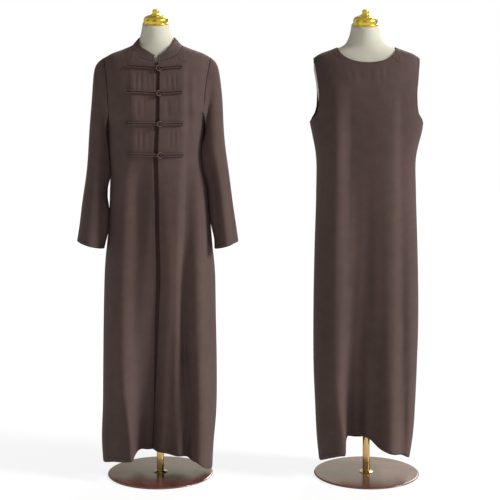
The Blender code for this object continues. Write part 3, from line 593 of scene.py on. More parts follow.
def smooth_copy(name: str, control: Mesh, level: int) -> Item:
    """A fine smooth surface that still passes through the points of a rough one.

    Args:
        name: the new object's name.
        control: the rough mesh.
        level: how often its faces are divided.
    Returns:
        The new object, with a plain mesh.
    """
    item = link(name, control)
    goal = points_of(control)
    divide = item.modifiers.new("divide", "SUBSURF")
    divide.levels = divide.render_levels = 1
    for _ in range(FIT_ROUNDS):
        trial = evaluated(item)
        reached = points_of(trial)[:len(goal)]
        set_points(control, points_of(control) + goal - reached)
        bpy.data.meshes.remove(trial)
    divide.levels = divide.render_levels = level
    fine = evaluated(item)
    item.modifiers.clear()
    item.data = fine
    item.data.name = name
    bpy.data.meshes.remove(control)
    return item


def finish_piece(item: Item, finish: Finish, sharp: float, *nodes: str) -> None:
    """Gives a piece its material, shading and body, and hides the CAD nodes that it stands for.

    Args:
        item: the piece.
        finish: its finish.
        sharp: edges that bend more than this are shaded sharp.
        nodes: names of the CAD nodes that it replaces.
    """
    item.data.materials.clear()
    item.data.materials.append(finish.material())
    item.data.shade_smooth()
    item.data.set_sharp_from_angle(angle=sharp)
    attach(item, "root")
    if nodes:
        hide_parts(*nodes)
    LOG.info("%s: %d faces", item.name, len(item.data.polygons))


@dataclass(frozen=True)
class Cut:
    """The flat size that a piece was cut to.

    Attributes:
        width: its width; not used.
        length: its length; not used.
        area: its area where it isn't a rectangle; not used.
    """

    width: float
    length: float
    area: float | None = None

    def declare(self, item: Item, rests_on: Sequence[str]) -> None:
        """Does nothing: the piece is not stated as a sheet, and the names of what carries it are only run
        through.
        """
        list(rests_on)


@dataclass(frozen=True)
class Crease:
    """A soft trough between two places on a garment, or a ridge where its depth is below zero.

    Attributes:
        top_x: distance of its upper end from the centre line.
        top_z: height of its upper end.
        foot_x: distance of its lower end from the centre line.
        foot_z: height of its lower end.
        half_width: half of its width, on the side of smaller distances.
        depth: how deep it is at its middle.
        open_foot: whether it runs out through the edge below instead of fading.
        far_width: half of its width on the other side, where that isn't the same.
        sway: how far its middle bends aside.
        fade: share of its length over which it grows.
    """

    top_x: float
    top_z: float
    foot_x: float
    foot_z: float
    half_width: float
    depth: float
    open_foot: bool = False
    far_width: float | None = None
    sway: float = 0.0
    fade: float = 0.38

    def at(self, x: np.ndarray, z: np.ndarray) -> np.ndarray:
        """How far the crease draws the cloth in at each place.

        Args:
            x: distances from the centre line.
            z: heights.
        Returns:
            The distances that the cloth moves in.
        """
        run_x, run_z = self.foot_x - self.top_x, self.foot_z - self.top_z
        length = math.hypot(run_x, run_z)
        along = ((x - self.top_x) * run_x + (z - self.top_z) * run_z) / length**2
        share = np.clip(along, 0.0, 1.0)
        across = ((z - self.top_z) * run_x - (x - self.top_x) * run_z) / length
        across = across - self.sway * np.sin(share * math.pi)
        width = np.where(across > 0.0, self.far_width or self.half_width, self.half_width)
        from_end = share if self.open_foot else np.minimum(share, 1.0 - share)
        grown = np.sin(np.clip(from_end / self.fade, 0.0, 1.0) * math.pi / 2)
        return self.depth * grown**1.5 * np.exp(-(across / width) ** 2)


@dataclass(frozen=True)
class Swing:
    """A place where the cloth hangs over sideways.

    Attributes:
        x: its distance from the centre line.
        z: its height.
        half_width: how far it reaches across.
        half_height: how far it reaches up and down.
        amount: how far it hangs over, towards larger distances.
    """

    x: float
    z: float
    half_width: float
    half_height: float
    amount: float

    def at(self, x: np.ndarray, z: np.ndarray) -> np.ndarray:
        """How far the cloth moves over at each place."""
        aside, above = (x - self.x) / self.half_width, (z - self.z) / self.half_height
        return self.amount * np.exp(-aside**2 - above**4)


def summed(parts: Sequence[Crease | Swing], x: np.ndarray, z: np.ndarray) -> np.ndarray:
    """What creases or swings do together at each place."""
    return sum((part.at(x, z) for part in parts), np.zeros(len(x)))


@dataclass
class Drape:
    """How one side of a garment falls.

    Attributes:
        face: which side of the body.
        centre_x: where the garment's centre line meets the floor.
        creases: the creases on this side.
        swings: places on this side that hang over sideways.
        swells: places where the whole body is fuller, its seams as well.
        lean: how far the centre line moves over with each metre of height.
    """

    face: Face
    centre_x: float
    creases: Sequence[Crease]
    swings: Sequence[Swing] = ()
    swells: Sequence[Swing] = ()
    lean: float = 0.0

    def shift(self, points: np.ndarray) -> np.ndarray:
        """How far points move with the creases and swings.

        Args:
            points: the points, one row each.
        Returns:
            The moves, one row each.
        """
        x, z = points[:, 0] - self.centre_x - self.lean * points[:, 2], points[:, 2]
        moves = np.zeros_like(points)
        moves[:, 0] = summed(self.swings, x, z)
        moves[:, 1] = -self.face.value * summed(self.creases, x, z)
        return moves


def rim_kind(normal: Vector, side: float) -> Rim:
    """What kind of rim a narrow face belongs to.

    Args:
        normal: the way that the face looks.
        side: above zero on the wearer's left of the centre line.
    Returns:
        The kind.
    """
    if normal.z < -LOOKS:
        return Rim.HEM
    if normal.x * math.copysign(1.0, side) < -LOOKS and normal.z < LOOKS:
        return Rim.FRONT_EDGE
    return Rim.SEWN


def rims_of(node: str, centre_x: float) -> dict[Rim, BVHTree | None]:
    """The rim faces of a cloth wall, sorted by what the edge is.

    Args:
        node: the CAD node's name.
        centre_x: X of the garment's centre line.
    Returns:
        A search tree of the faces of each kind of rim, or None where it has none.
    """
    work = merged_copy(node)
    aside = frame_middle(node).x - centre_x
    corners = [vertex.co.copy() for vertex in work.verts]
    found: dict[Rim, list[list[int]]] = {kind: [] for kind in Rim}
    for face in work.faces:
        bends = any(edge.calc_face_angle(0.0) > RIM_ANGLE for edge in face.edges)
        if bends and face_width(face) < RIM_WIDTH:
            side = aside if abs(aside) > ONE_SIDED else face.calc_center_median().x - centre_x
            found[rim_kind(face.normal, side)].append([vertex.index for vertex in face.verts])
    work.free()
    return {kind: BVHTree.FromPolygons(corners, faces) if faces else None for kind, faces in found.items()}


def nearness(points: np.ndarray, tree: BVHTree | None, reach: float = BAND) -> np.ndarray:
    """How near each point is to some faces: 1 on them, 0 at the reach and beyond.

    Args:
        points: the points.
        tree: the faces, or None where there are none.
        reach: the furthest distance that counts.
    Returns:
        A number for each point.
    """
    near = np.zeros(len(points))
    if tree is not None:
        for index, point in enumerate(points):
            distance = tree.find_nearest(point, reach)[3]
            if distance is not None:
                near[index] = 1.0 - distance / reach
    return near


def chains(links: dict[int, list[int]]) -> list[list[int]]:
    """Joins linked points into runs.

    Args:
        links: the neighbours of each point.
    Returns:
        The runs, each a list of points in order, with its first point again at its end where it closes.
    """
    left = {point: set(others) for point, others in links.items()}
    runs = []
    for start in sorted(left, key=lambda point: (len(left[point]) != 1, point)):
        run = [start]
        while left[run[-1]]:
            step = min(left[run[-1]])
            left[run[-1]].discard(step)
            left[step].discard(run[-1])
            run.append(step)
        if len(run) >= SHORTEST_RIM:
            runs.append(run)
    return runs


def sewing_lines(item: Item, centre_x: float, axis_y: float, kind: Rim, inset: float,
                 open_from: Sequence[str] = ()) -> list[list[Vector]]:
    """Lines on a cloth wall's outer side, a set distance in from its rim.

    Args:
        item: the cloth piece.
        centre_x: X of the line that the cloth hangs round.
        axis_y: Y of that line.
        kind: the kind of rim.
        inset: distance from the rim.
        open_from: CAD nodes that the rim has to stay clear of, which leaves out what is sewn to them.
    Returns:
        The lines, as points.
    """
    work = bmesh.new()
    work.from_mesh(item.data)
    wall = BVHTree.FromBMesh(work)
    others = [tree_of(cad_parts[name]) for name in open_from]
    aside = sum((vertex.co.x for vertex in work.verts), 0.0) / len(work.verts) - centre_x
    links: dict[int, list[int]] = {}
    inwards: dict[int, Vector] = {}
    for edge in work.edges:
        if edge.calc_face_angle(0.0) < RIM_ANGLE:
            continue
        narrow, wide = sorted(edge.link_faces, key=face_width)
        place = (edge.verts[0].co + edge.verts[1].co) / 2
        out = Vector((place.x - centre_x, place.y - axis_y, UPWARDS))
        side = aside if abs(aside) > ONE_SIDED else place.x - centre_x
        if wide.normal.dot(out) < 0.0 or rim_kind(narrow.normal, side) is not kind:
            continue
        if any(other.find_nearest(place, SKIN)[3] is not None for other in others):
            continue
        for first, second in (edge.verts, reversed(edge.verts)):
            links.setdefault(first.index, []).append(second.index)
            moved = wide.normal * SKIN - narrow.normal * inset
            inwards[first.index] = inwards.get(first.index, Vector()) + moved
    work.verts.ensure_lookup_table()
    lines = []
    for run in chains(links):
        line = []
        for index in run:
            start = work.verts[index].co + inwards[index] / max(len(links[index]), 1)
            place, normal, _, _ = wall.find_nearest(start)
            line.append(place + normal * THREAD_LIFT)
        lines.append(line)
    work.free()
    return lines


@cache
def stitch_tree() -> Tree:
    """Geometry Nodes that lay stitches along lines.

    Returns:
        The node tree, with the inputs Pitch, Length, Radius and Finish.
    """
    tree = bpy.data.node_groups.new("sewn_stitches", "GeometryNodeTree")
    for name, kind in (("Lines", "Geometry"), ("Pitch", "Float"), ("Length", "Float"), ("Radius", "Float"),
                       ("Finish", "Material")):
        tree.interface.new_socket(name, in_out="INPUT", socket_type="NodeSocket" + kind)
    tree.interface.new_socket("Stitches", in_out="OUTPUT", socket_type="NodeSocketGeometry")
    board = Board(tree)
    source = board.add("NodeGroupInput").outputs
    curve = board.add("GeometryNodeMeshToCurve", Mesh=source["Lines"])
    spaced = board.add("GeometryNodeCurveToPoints", {"mode": "LENGTH"}, Curve=curve.outputs[0],
                       Length=source["Pitch"]).outputs
    bead = board.add("GeometryNodeMeshUVSphere", Segments=6, Rings=4, Radius=1.0)
    size = board.add("ShaderNodeCombineXYZ", X=source["Radius"], Y=source["Radius"],
                     Z=board.math("MULTIPLY", source["Length"], 0.5))
    thread = board.add("GeometryNodeTransform", Geometry=bead.outputs["Mesh"], Scale=size.outputs[0])
    along = board.add("FunctionNodeAlignRotationToVector", {"axis": "Z"}, Vector=spaced["Tangent"])
    laid = board.add("GeometryNodeInstanceOnPoints", Points=spaced["Points"], Instance=thread.outputs[0],
                     Rotation=along.outputs[0])
    real = board.add("GeometryNodeRealizeInstances", Geometry=laid.outputs[0])
    finished = board.add("GeometryNodeSetMaterial", Geometry=real.outputs[0], Material=source["Finish"])
    board.add("NodeGroupOutput", Stitches=finished.outputs[0])
    return tree


@dataclass(frozen=True)
class Stitch:
    """A run of stitches.

    Attributes:
        name: end of its piece's name.
        pitch: distance from stitch to stitch.
        length: length of a stitch.
        radius: the thread's radius.
    """

    name: str
    pitch: float
    length: float
    radius: float

    def sew(self, prefix: str, lines: Sequence[Sequence[Vector]]) -> None:
        """Lays the stitches along lines and dresses them as one piece.

        Args:
            prefix: start of the new piece's name.
            lines: where the stitches go.
        """
        points = [tuple(point) for line in lines for point in line]
        edges: list[tuple[int, int]] = []
        start = 0
        for line in lines:
            edges += [(start + k, start + k + 1) for k in range(len(line) - 1)]
            start += len(line)
        mesh = bpy.data.meshes.new(f"{prefix}_{self.name}")
        mesh.from_pydata(points, edges, [])
        item = link(f"{prefix}_{self.name}", mesh)
        sewing = item.modifiers.new("sewing", "NODES")
        sewing.node_group = stitch_tree()
        values = {"Pitch": self.pitch, "Length": self.length, "Radius": self.radius,
                  "Finish": THREAD.material()}
        for socket in stitch_tree().interface.items_tree:
            if socket.name in values:
                sewing[socket.identifier] = values[socket.name]
        made = evaluated(item)
        item.modifiers.clear()
        item.data = made
        bpy.data.meshes.remove(mesh)
        finish_piece(item, THREAD, RIM_ANGLE)


SEAM_STITCH = Stitch("stitches", 0.0040, 0.0026, 0.00022)
BAR_TACK = Stitch("bar_tacks", 0.0008, 0.0022, 0.0009)


def move_clear(mesh: Mesh, moves: np.ndarray, others: Sequence[Item]) -> None:
    """Moves a cloth wall's points, each stopped short of what lies ahead of it.

    Args:
        mesh: the wall's mesh.
        moves: how far each point would move.
        others: pieces to stay clear of.
    """
    trees = [tree_of(other) for other in others]
    points = points_of(mesh)
    amounts = np.linalg.norm(moves, axis=1)
    ways = moves / np.maximum(amounts, 1e-9)[:, None]
    normals = np.array([tuple(vertex.normal) for vertex in mesh.vertices])
    trails = (normals * ways).sum(axis=1) < 0.0
    for index in np.nonzero(amounts > SHORT_MOVE)[0]:
        room = CLEAR + CLOTH * trails[index]
        for tree in trees:
            ahead = tree.ray_cast(points[index], ways[index], float(amounts[index]) + room)[3]
            if ahead is not None:
                amounts[index] = min(amounts[index], max(ahead - room, 0.0))
    set_points(mesh, points + ways * amounts[:, None])


@dataclass
class ClothPiece:
    """A piece of a garment.

    Attributes:
        node: the CAD node that it stands for, and its own name's stem.
        cut: the flat cloth that it was cut from.
        rests_on: names of what carries it.
        clear_of: what its creases stay clear of.
        item: its object, once it is built.
        rims: its rim faces, once it is built.
    """

    node: str
    cut: Cut
    rests_on: Sequence[str]
    clear_of: Sequence[Item]
    item: Item | None = field(default=None, init=False)
    rims: dict[Rim, BVHTree | None] = field(default_factory=dict, init=False)

    def wall(self) -> np.ndarray:
        """Makes its fine wall.

        Returns:
            The wall's points.
        """
        self.item = smooth_copy(self.node + "_cloth", control_mesh(self.node, thin_rims=True), CLOTH_LEVEL)
        return points_of(self.item.data)

    def mark_rims(self, points: np.ndarray, centre_x: float) -> None:
        """Marks on its wall how near each point is to each kind of rim.

        Args:
            points: the wall's points.
            centre_x: X of the line that it hangs round.
        """
        self.rims = rims_of(self.node, centre_x)
        for kind, tree in self.rims.items():
            layer = self.item.data.attributes.new(kind.value, "FLOAT", "POINT")
            layer.data.foreach_set("value", nearness(points, tree).astype(np.float32))

    def dress(self, finish: ClothFinish = CREPE) -> None:
        """Gives it its finish."""
        finish_piece(self.item, finish, RIM_ANGLE, self.node)
        self.cut.declare(self.item, self.rests_on)


@dataclass
class ClothPanel(ClothPiece):
    """One flat-cut piece of a garment that hangs on its front or back.

    Attributes:
        drape: how it falls.
        held: whether its seams keep their place when it creases.
    """

    drape: Drape
    held: bool = True

    def build(self) -> None:
        """Makes the fine wall, marks its rims and lays its creases in."""
        points = self.wall()
        self.mark_rims(points, self.drape.centre_x)
        moves = self.moves(points)
        across = moves * np.array([1.0, 0.0, 0.0])
        move_clear(self.item.data, moves - across, self.clear_of)
        set_points(self.item.data, points_of(self.item.data) + across)

    def moves(self, points: np.ndarray) -> np.ndarray:
        """How far points on the panel move with its creases, which fade towards its seams.

        Args:
            points: the points, one row each.
        Returns:
            The moves, one row each.
        """
        share = 1.0 - nearness(points, self.rims[Rim.SEWN] if self.held else None, HELD_FADE)
        moves = self.drape.shift(points) * (share**2 * (3.0 - 2.0 * share))[:, None]
        moves[:, 0] += summed(self.drape.swells, points[:, 0] - self.drape.centre_x, points[:, 2])
        return moves


@dataclass
class Sleeve(ClothPiece):
    """One long sleeve.

    Attributes:
        creases: its creases, measured round from the front line of the sleeve and up from the floor.
        centre_x: where the garment's centre line is.
        girth_radius: radius that turns an angle round the sleeve into a distance.
        seam_gap: how far it stands off the armhole.
    """

    creases: Sequence[Crease]
    centre_x: float
    girth_radius: float = 0.060
    seam_gap: float = 0.0010

    def build(self) -> None:
        """Makes the fine tube, marks its rims and lays its creases in."""
        points = self.wall()
        x, z = points[:, 0], points[:, 2]
        heights = np.linspace(z.min(), z.max(), SLICES)
        slices = [points[np.abs(z - height) < SLICE_REACH] for height in heights]
        middles = np.array([(near.min(axis=0) + near.max(axis=0))[:2] / 2 for near in slices])
        middle_x = np.interp(z, heights, middles[:, 0])
        middle_y = np.interp(z, heights, middles[:, 1])
        out = np.stack([x - middle_x, points[:, 1] - middle_y, np.zeros(len(points))], axis=1)
        away = math.copysign(1.0, middles[0, 0] - middles[-1, 0])
        round_it = np.arctan2(out[:, 0] * away, -out[:, 1]) * self.girth_radius
        total = summed(self.creases, round_it, z) * np.clip((z.max() - z) / SLEEVE_FADE, 0.0, 1.0)
        out /= np.maximum(np.linalg.norm(out, axis=1), LEAST_RADIUS)[:, None]
        self.mark_rims(points, middle_x.mean())
        points[:, 0] += self.seam_gap * away
        points[:, 0] += summed(SLEEVE_SWELLS, points[:, 0] - self.centre_x, z)
        set_points(self.item.data, points)
        move_clear(self.item.data, -out * total[:, None], self.clear_of)


@dataclass
class Collar(ClothPanel):
    """The stand collar, whose upper edge is lifted on each side of its notch, in a V.

    Attributes:
        lift: how far its upper edge is lifted at most.
        middle: how far the notch lies from the centre line.
        lift_x: how far from the notch the lift is greatest.
        lift_reach: how far the lift reaches to each side.
        height: the band's height.
        column: width of the upright strips in which its foot is found.
    """

    lift: float = 0.010
    middle: float = 0.0104
    lift_x: float = 0.034
    lift_reach: float = 0.018
    height: float = 0.034
    column: float = 0.003

    def build(self) -> None:
        """Makes the band and lifts its upper edge."""
        super().build()
        points = points_of(self.item.data)
        side = np.abs(points[:, 0] - self.drape.centre_x - self.middle)
        ahead = points[:, 1] < points[:, 1].mean()
        columns = np.round(side / self.column).astype(int)
        foot = np.zeros(len(points))
        for column in np.unique(columns):
            here = (columns == column) & ahead
            if here.any():
                foot[here] = points[here, 2].min()
        rise = np.clip((points[:, 2] - foot) / self.height, 0.0, 1.0)
        points[:, 2] += ahead * self.lift * rise * np.exp(-((side - self.lift_x) / self.lift_reach) ** 2)
        set_points(self.item.data, points)


# A profile's corners: radius, height and how far from the corner its rounding begins
Profile = Sequence[tuple[float, float, float]]


def rounded(profile: Profile, steps: int = 5) -> list[tuple[float, float]]:
    """A profile's line with its corners rounded.

    Args:
        profile: the corners, in order.
        steps: parts of each rounded corner.
    Returns:
        Radius and height of each point.
    """
    line: list[tuple[float, float]] = []
    for index, (radius, height, rounding) in enumerate(profile):
        here = Vector((radius, height))
        if rounding == 0.0 or index in (0, len(profile) - 1):
            line.append(tuple(here))
            continue
        before, after = (Vector(profile[index + step][:2]) - here for step in (-1, 1))
        start = here + before.normalized() * min(rounding, before.length * ROUND_SHARE)
        end = here + after.normalized() * min(rounding, after.length * ROUND_SHARE)
        for k in range(steps + 1):
            t = k / steps
            line.append(tuple(start * (1 - t) ** 2 + here * 2 * t * (1 - t) + end * t**2))
    return line


def turned(name: str, profile: Profile, sides: int, hollow: bool = False) -> Item:
    """A closed solid turned about the Z axis.

    Args:
        name: the object's name.
        profile: its corners from the foot up.
        sides: how many sides it has.
        hollow: joins the profile's ends, for a ring.
    Returns:
        The new object.
    """
    work = bmesh.new()
    rings = []
    for radius, height in rounded(profile):
        turns = [math.tau * k / sides for k in range(sides)] if radius >= MERGE else [0.0]
        rings.append([work.verts.new((radius * math.cos(turn), radius * math.sin(turn), height))
                      for turn in turns])
    pairs = list(zip(rings, rings[1:]))
    if hollow:
        pairs.append((rings[-1], rings[0]))
    for low, high in pairs:
        for k in range(sides):
            n = (k + 1) % sides
            corners = [low[k % len(low)], low[n % len(low)], high[n % len(high)], high[k % len(high)]]
            work.faces.new(list(dict.fromkeys(corners)))
    bmesh.ops.recalc_face_normals(work, faces=work.faces)
    if work.calc_volume(signed=True) < 0.0:
        bmesh.ops.reverse_faces(work, faces=work.faces)
    return link(name, mesh_from(work, name))


CAP_PROFILE = (
    (0.0, 0.0, 0.0), (0.0455, 0.0, 0.0005), (0.0470, 0.0012, 0.0010), (0.0466, 0.0046, 0.0012),
    (0.0436, 0.0060, 0.0010), (0.0438, 0.0080, 0.0010), (0.0446, 0.0150, 0.0060), (0.0408, 0.0236, 0.0080),
    (0.0300, 0.0286, 0.0070), (0.0205, 0.0308, 0.0030), (0.0168, 0.0336, 0.0024), (0.0128, 0.0360, 0.0020),
    (0.0118, 0.0400, 0.0015), (0.0120, 0.0474, 0.0022), (0.0094, 0.0512, 0.0024), (0.0, 0.0520, 0.0),
)
FLANGE_PROFILE = (
    (0.0131, 0.0, 0.0), (0.0240, 0.0, 0.0006), (0.0240, 0.0018, 0.0007), (0.0150, 0.0030, 0.0012),
    (0.0142, 0.0042, 0.0006), (0.0131, 0.0042, 0.0),
)


@dataclass
class DressForm:
    """A limbless form on its stand.

    Attributes:
        prefix: start of its nodes' names.
        lean: how far its axis moves over with each metre of height.
        neck_lift: how far its neck rises above the plain solid's.
        cap_height: height of its cap against the profile's.
        cap_width: width of its cap against the profile's.
        neck_reach: how far down the neck the lift fades.
        sides: how many sides its cap has.
        cap_tilt: how far its cap leans back.
        cap_gap: how far its cap stands off the neck.
        cover: the torso's cover, once it is built.
    """

    prefix: str
    lean: float
    neck_lift: float
    cap_height: float
    cap_width: float = 0.92
    neck_reach: float = 0.060
    sides: int = 96
    cap_tilt: float = math.radians(11.0)
    cap_gap: float = 0.0050
    cover: Item | None = field(default=None, init=False)

    def node(self, part: str) -> str:
        """Name of one of the form's CAD nodes."""
        return f"{self.prefix}_form_{part}"

    def size(self, part: str) -> tuple[float, float]:
        """A turned CAD node's radius and height."""
        low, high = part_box(self.node(part))
        return (high.y - low.y) / 2, high.z - low.z

    def build(self) -> None:
        """Builds and dresses the torso, the cap, the pole, its collar and the base."""
        self.torso()
        self.cap()
        radius, height = self.size("pole")
        tube = ((0.0, 0.0, 0.0), (radius, 0.0, 0.0), (radius, height, 0.0), (0.0, height, 0.0))
        self.turn("pole", "tube", tube, self.sides // 2, BRASS, lean=self.lean)
        self.turn("pole_collar", "ring", FLANGE_PROFILE, self.sides // 2, BRASS, hollow=True)
        radius, height = self.size("base")
        plate = ((0.0, 0.0, 0.0), (radius - 0.003, 0.0, 0.001), (radius, 0.0022, 0.0014),
                 (radius, 0.0044, 0.0014), (radius - 0.0035, height, 0.0012), (0.0, height, 0.0))
        self.turn("base", "plate", plate, 2 * self.sides, BRONZE)

    def torso(self) -> None:
        """The jersey-covered torso."""
        self.cover = smooth_copy(self.node("torso") + "_cover", control_mesh(self.node("torso")), TORSO_LEVEL)
        points = points_of(self.cover.data)
        ahead = points[:, 1] - frame_middle(self.node("neck_cap")).y
        level = points[:, 2] - ahead * math.tan(self.cap_tilt)
        share = np.clip((level - level.max() + self.neck_reach) / self.neck_reach, 0.0, 1.0)
        points[:, 2] += self.neck_lift * share**1.5
        set_points(self.cover.data, points)
        finish_piece(self.cover, JERSEY, RIM_ANGLE, self.node("torso"))

    def cap(self) -> None:
        """The gilt neck cap with its rim, dome, stem and finial, which leans back with the neck."""
        item = turned(self.node("neck_cap") + "_metal", CAP_PROFILE, self.sides)
        points = points_of(item.data) * np.array([self.cap_width, self.cap_width, self.cap_height])
        middle = frame_middle(self.node("neck_cap")) + Vector((0.0, 0.0, self.neck_lift + self.cap_gap))
        along = points[:, 2] - CAP_MIDDLE
        y = points[:, 1].copy()
        points[:, 1] = y * math.cos(self.cap_tilt) - along * math.sin(self.cap_tilt) + middle.y
        points[:, 2] = y * math.sin(self.cap_tilt) + along * math.cos(self.cap_tilt) + middle.z
        points[:, 0] += middle.x + self.lean * (points[:, 2] - middle.z)
        set_points(item.data, points)
        finish_piece(item, GILT, METAL_ANGLE, self.node("neck_cap"))

    def turn(self, part: str, ending: str, profile: Profile, sides: int, finish: MetalFinish,
             hollow: bool = False, lean: float = 0.0) -> None:
        """Turns a part of the stand, puts it where its CAD node stands and dresses it.

        Args:
            part: the part, as its CAD node names it.
            ending: end of its own name.
            profile: its corners from the foot up.
            sides: how many sides it has.
            finish: its metal.
            hollow: whether it is a ring.
            lean: how far its axis moves over with each metre of height.
        """
        item = turned(f"{self.node(part)}_{ending}", profile, sides, hollow)
        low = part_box(self.node(part))[0]
        middle = frame_middle(self.node(part))
        points = points_of(item.data) + np.array([middle.x, middle.y, low.z])
        points[:, 0] += lean * (points[:, 2] - middle.z)
        set_points(item.data, points)
        finish_piece(item, finish, METAL_ANGLE, self.node(part))


@dataclass
class Abaya:
    """The abaya: fronts, back, underlap, collar, sleeves and frog closures.

    Attributes:
        centre_x: where its centre line is.
        torso: the form's cover, which it stays clear of.
        proud: how far the knots and loops stand off the knot cords.
    """

    centre_x: float
    torso: Item
    proud: float = 0.0006

    def build(self) -> None:
        """Builds and dresses every piece of the abaya."""
        right = Drape(Face.FRONT, self.centre_x, RIGHT_FRONT_CREASES, (OPENING_SWING, RIGHT_HEM_SWING),
                      BODY_SWELLS)
        left = Drape(Face.FRONT, self.centre_x, LEFT_FRONT_CREASES, (OPENING_SWING, CLOSING_SWING),
                     BODY_SWELLS)
        behind = Drape(Face.BACK, self.centre_x, ABAYA_BACK_CREASES, (), BODY_SWELLS)
        torso = [self.torso]
        body = [self.torso.name]
        fronts = [ClothPanel("abaya_front_right", Cut(0.31, 1.43, 0.335), body, torso, right),
                  ClothPanel("abaya_front_left", Cut(0.33, 1.45, 0.355), body, torso, left)]
        walls = fronts + [ClothPanel("abaya_back", Cut(0.61, 1.46, 0.698), body, torso, behind)]
        underlap = ClothPanel("abaya_underlap", Cut(0.063, 1.32), ["abaya_front_right_cloth"], torso, right,
                              held=False)
        collar = Collar("abaya_collar", Cut(0.43, 0.037), ["abaya_back_cloth"], torso,
                        Drape(Face.FRONT, self.centre_x, ()))
        for panel in (*walls, underlap, collar):
            panel.build()
            # The underlap gets crepe darkened with painted shade
            panel.dress(SHADED_UNDERLAP if panel is underlap else CREPE)
        lines = []
        for side, creases in (("right", RIGHT_SLEEVE_CREASES), ("left", LEFT_SLEEVE_CREASES)):
            sleeve = Sleeve(f"abaya_sleeve_{side}", Cut(0.34, 0.66, 0.168), ["abaya_back_cloth"],
                            [wall.item for wall in walls], creases, self.centre_x)
            sleeve.build()
            sleeve.dress()
            middle = frame_middle(sleeve.node)
            lines += sewing_lines(sleeve.item, middle.x, middle.y, Rim.HEM, HEM_DEPTH)
        for panels, kind, inset in ((walls, Rim.HEM, HEM_DEPTH), (fronts, Rim.FRONT_EDGE, EDGE_DEPTH)):
            for panel in panels:
                lines += sewing_lines(panel.item, self.centre_x, 0.0, kind, inset)
        SEAM_STITCH.sew("abaya", lines)
        self.frogs(*fronts)

    def frogs(self, right: ClothPanel, left: ClothPanel) -> None:
        """The four rows of frog closures, moved with the creases under them, and their bar tacks.

        Args:
            right: the right front, which carries the knot cords.
            left: the left front, which carries the loops and the knots in them.
        """
        tacks = []
        for number in range(1, 5):
            for part, panel in (("knot_cord", right), ("loop", left), ("knot", left)):
                node = f"abaya_frog_{number}_{part}"
                item = smooth_copy(node + "_rouleau", control_mesh(node), CORD_LEVEL)
                points = points_of(item.data)
                points += panel.moves(points)
                points[:, 1] -= self.proud * (part != "knot_cord")
                set_points(item.data, points)
                # Knots get the crepe darkened with painted shade
                finish_piece(item, SHADED_KNOT_CREPE if part == "knot" else ROULEAU, CORD_ANGLE, node)
                if part != "knot":
                    tacks.append(self.tack(points_of(item.data)))
        BAR_TACK.sew("abaya_frog", tacks)

    def tack(self, points: np.ndarray) -> list[Vector]:
        """A short line across the outer end of a frog's cords.

        Args:
            points: the cords' points.
        Returns:
            The line's points.
        """
        reach = np.abs(points[:, 0] - self.centre_x)
        end = points[reach > reach.max() - TACK_REACH]
        low, high = end.min(axis=0), end.max(axis=0)
        middle = (low + high) / 2
        half = min((high[2] - low[2]) / 2, TACK_REACH)
        return [Vector((middle[0], low[1] - TACK_LIFT, middle[2] + half * step)) for step in (-1.0, 0.0, 1.0)]


@dataclass
class Dress:
    """The sleeveless dress: front and back.

    Attributes:
        centre_x: where its centre line meets the floor.
        torso: the form's cover, which it stays clear of.
    """

    centre_x: float
    torso: Item

    def build(self) -> None:
        """Builds and dresses both panels and their stitches."""
        lines = []
        for node, other, drape in (
                ("dress_front", "dress_back",
                 Drape(Face.FRONT, self.centre_x, DRESS_FRONT_CREASES, (DRESS_HEM_SWING,), lean=DRESS_LEAN)),
                ("dress_back", "dress_front",
                 Drape(Face.BACK, self.centre_x, DRESS_BACK_CREASES, lean=DRESS_LEAN))):
            panel = ClothPanel(node, Cut(0.60, 1.42, 0.655), [self.torso.name], [self.torso], drape)
            panel.build()
            panel.dress()
            lines += sewing_lines(panel.item, self.centre_x, 0.0, Rim.HEM, HEM_DEPTH)
            lines += sewing_lines(panel.item, self.centre_x, 0.0, Rim.SEWN, EDGE_DEPTH, [other])
        SEAM_STITCH.sew("dress", lines)


@dataclass(frozen=True)
class Lamp:
    """A broad far lamp, with its angles in degrees.

    Attributes:
        name: its name.
        azimuth: how far to the right of the camera's side it stands.
        elevation: how far above the floor.
        spread: how wide it looks from the set.
        power: its strength.
    """

    name: str
    azimuth: float
    elevation: float
    spread: float
    power: float

    def hang(self) -> None:
        """Puts the lamp in the scene."""
        light = bpy.data.lights.new(self.name, "SUN")
        light.angle = math.radians(self.spread)
        light.energy = self.power
        turn, rise = math.radians(self.azimuth), math.radians(self.elevation)
        towards = Vector((math.sin(turn) * math.cos(rise), -math.cos(turn) * math.cos(rise), math.sin(rise)))
        link(self.name, light).rotation_euler = towards.to_track_quat("Z", "Y").to_euler()


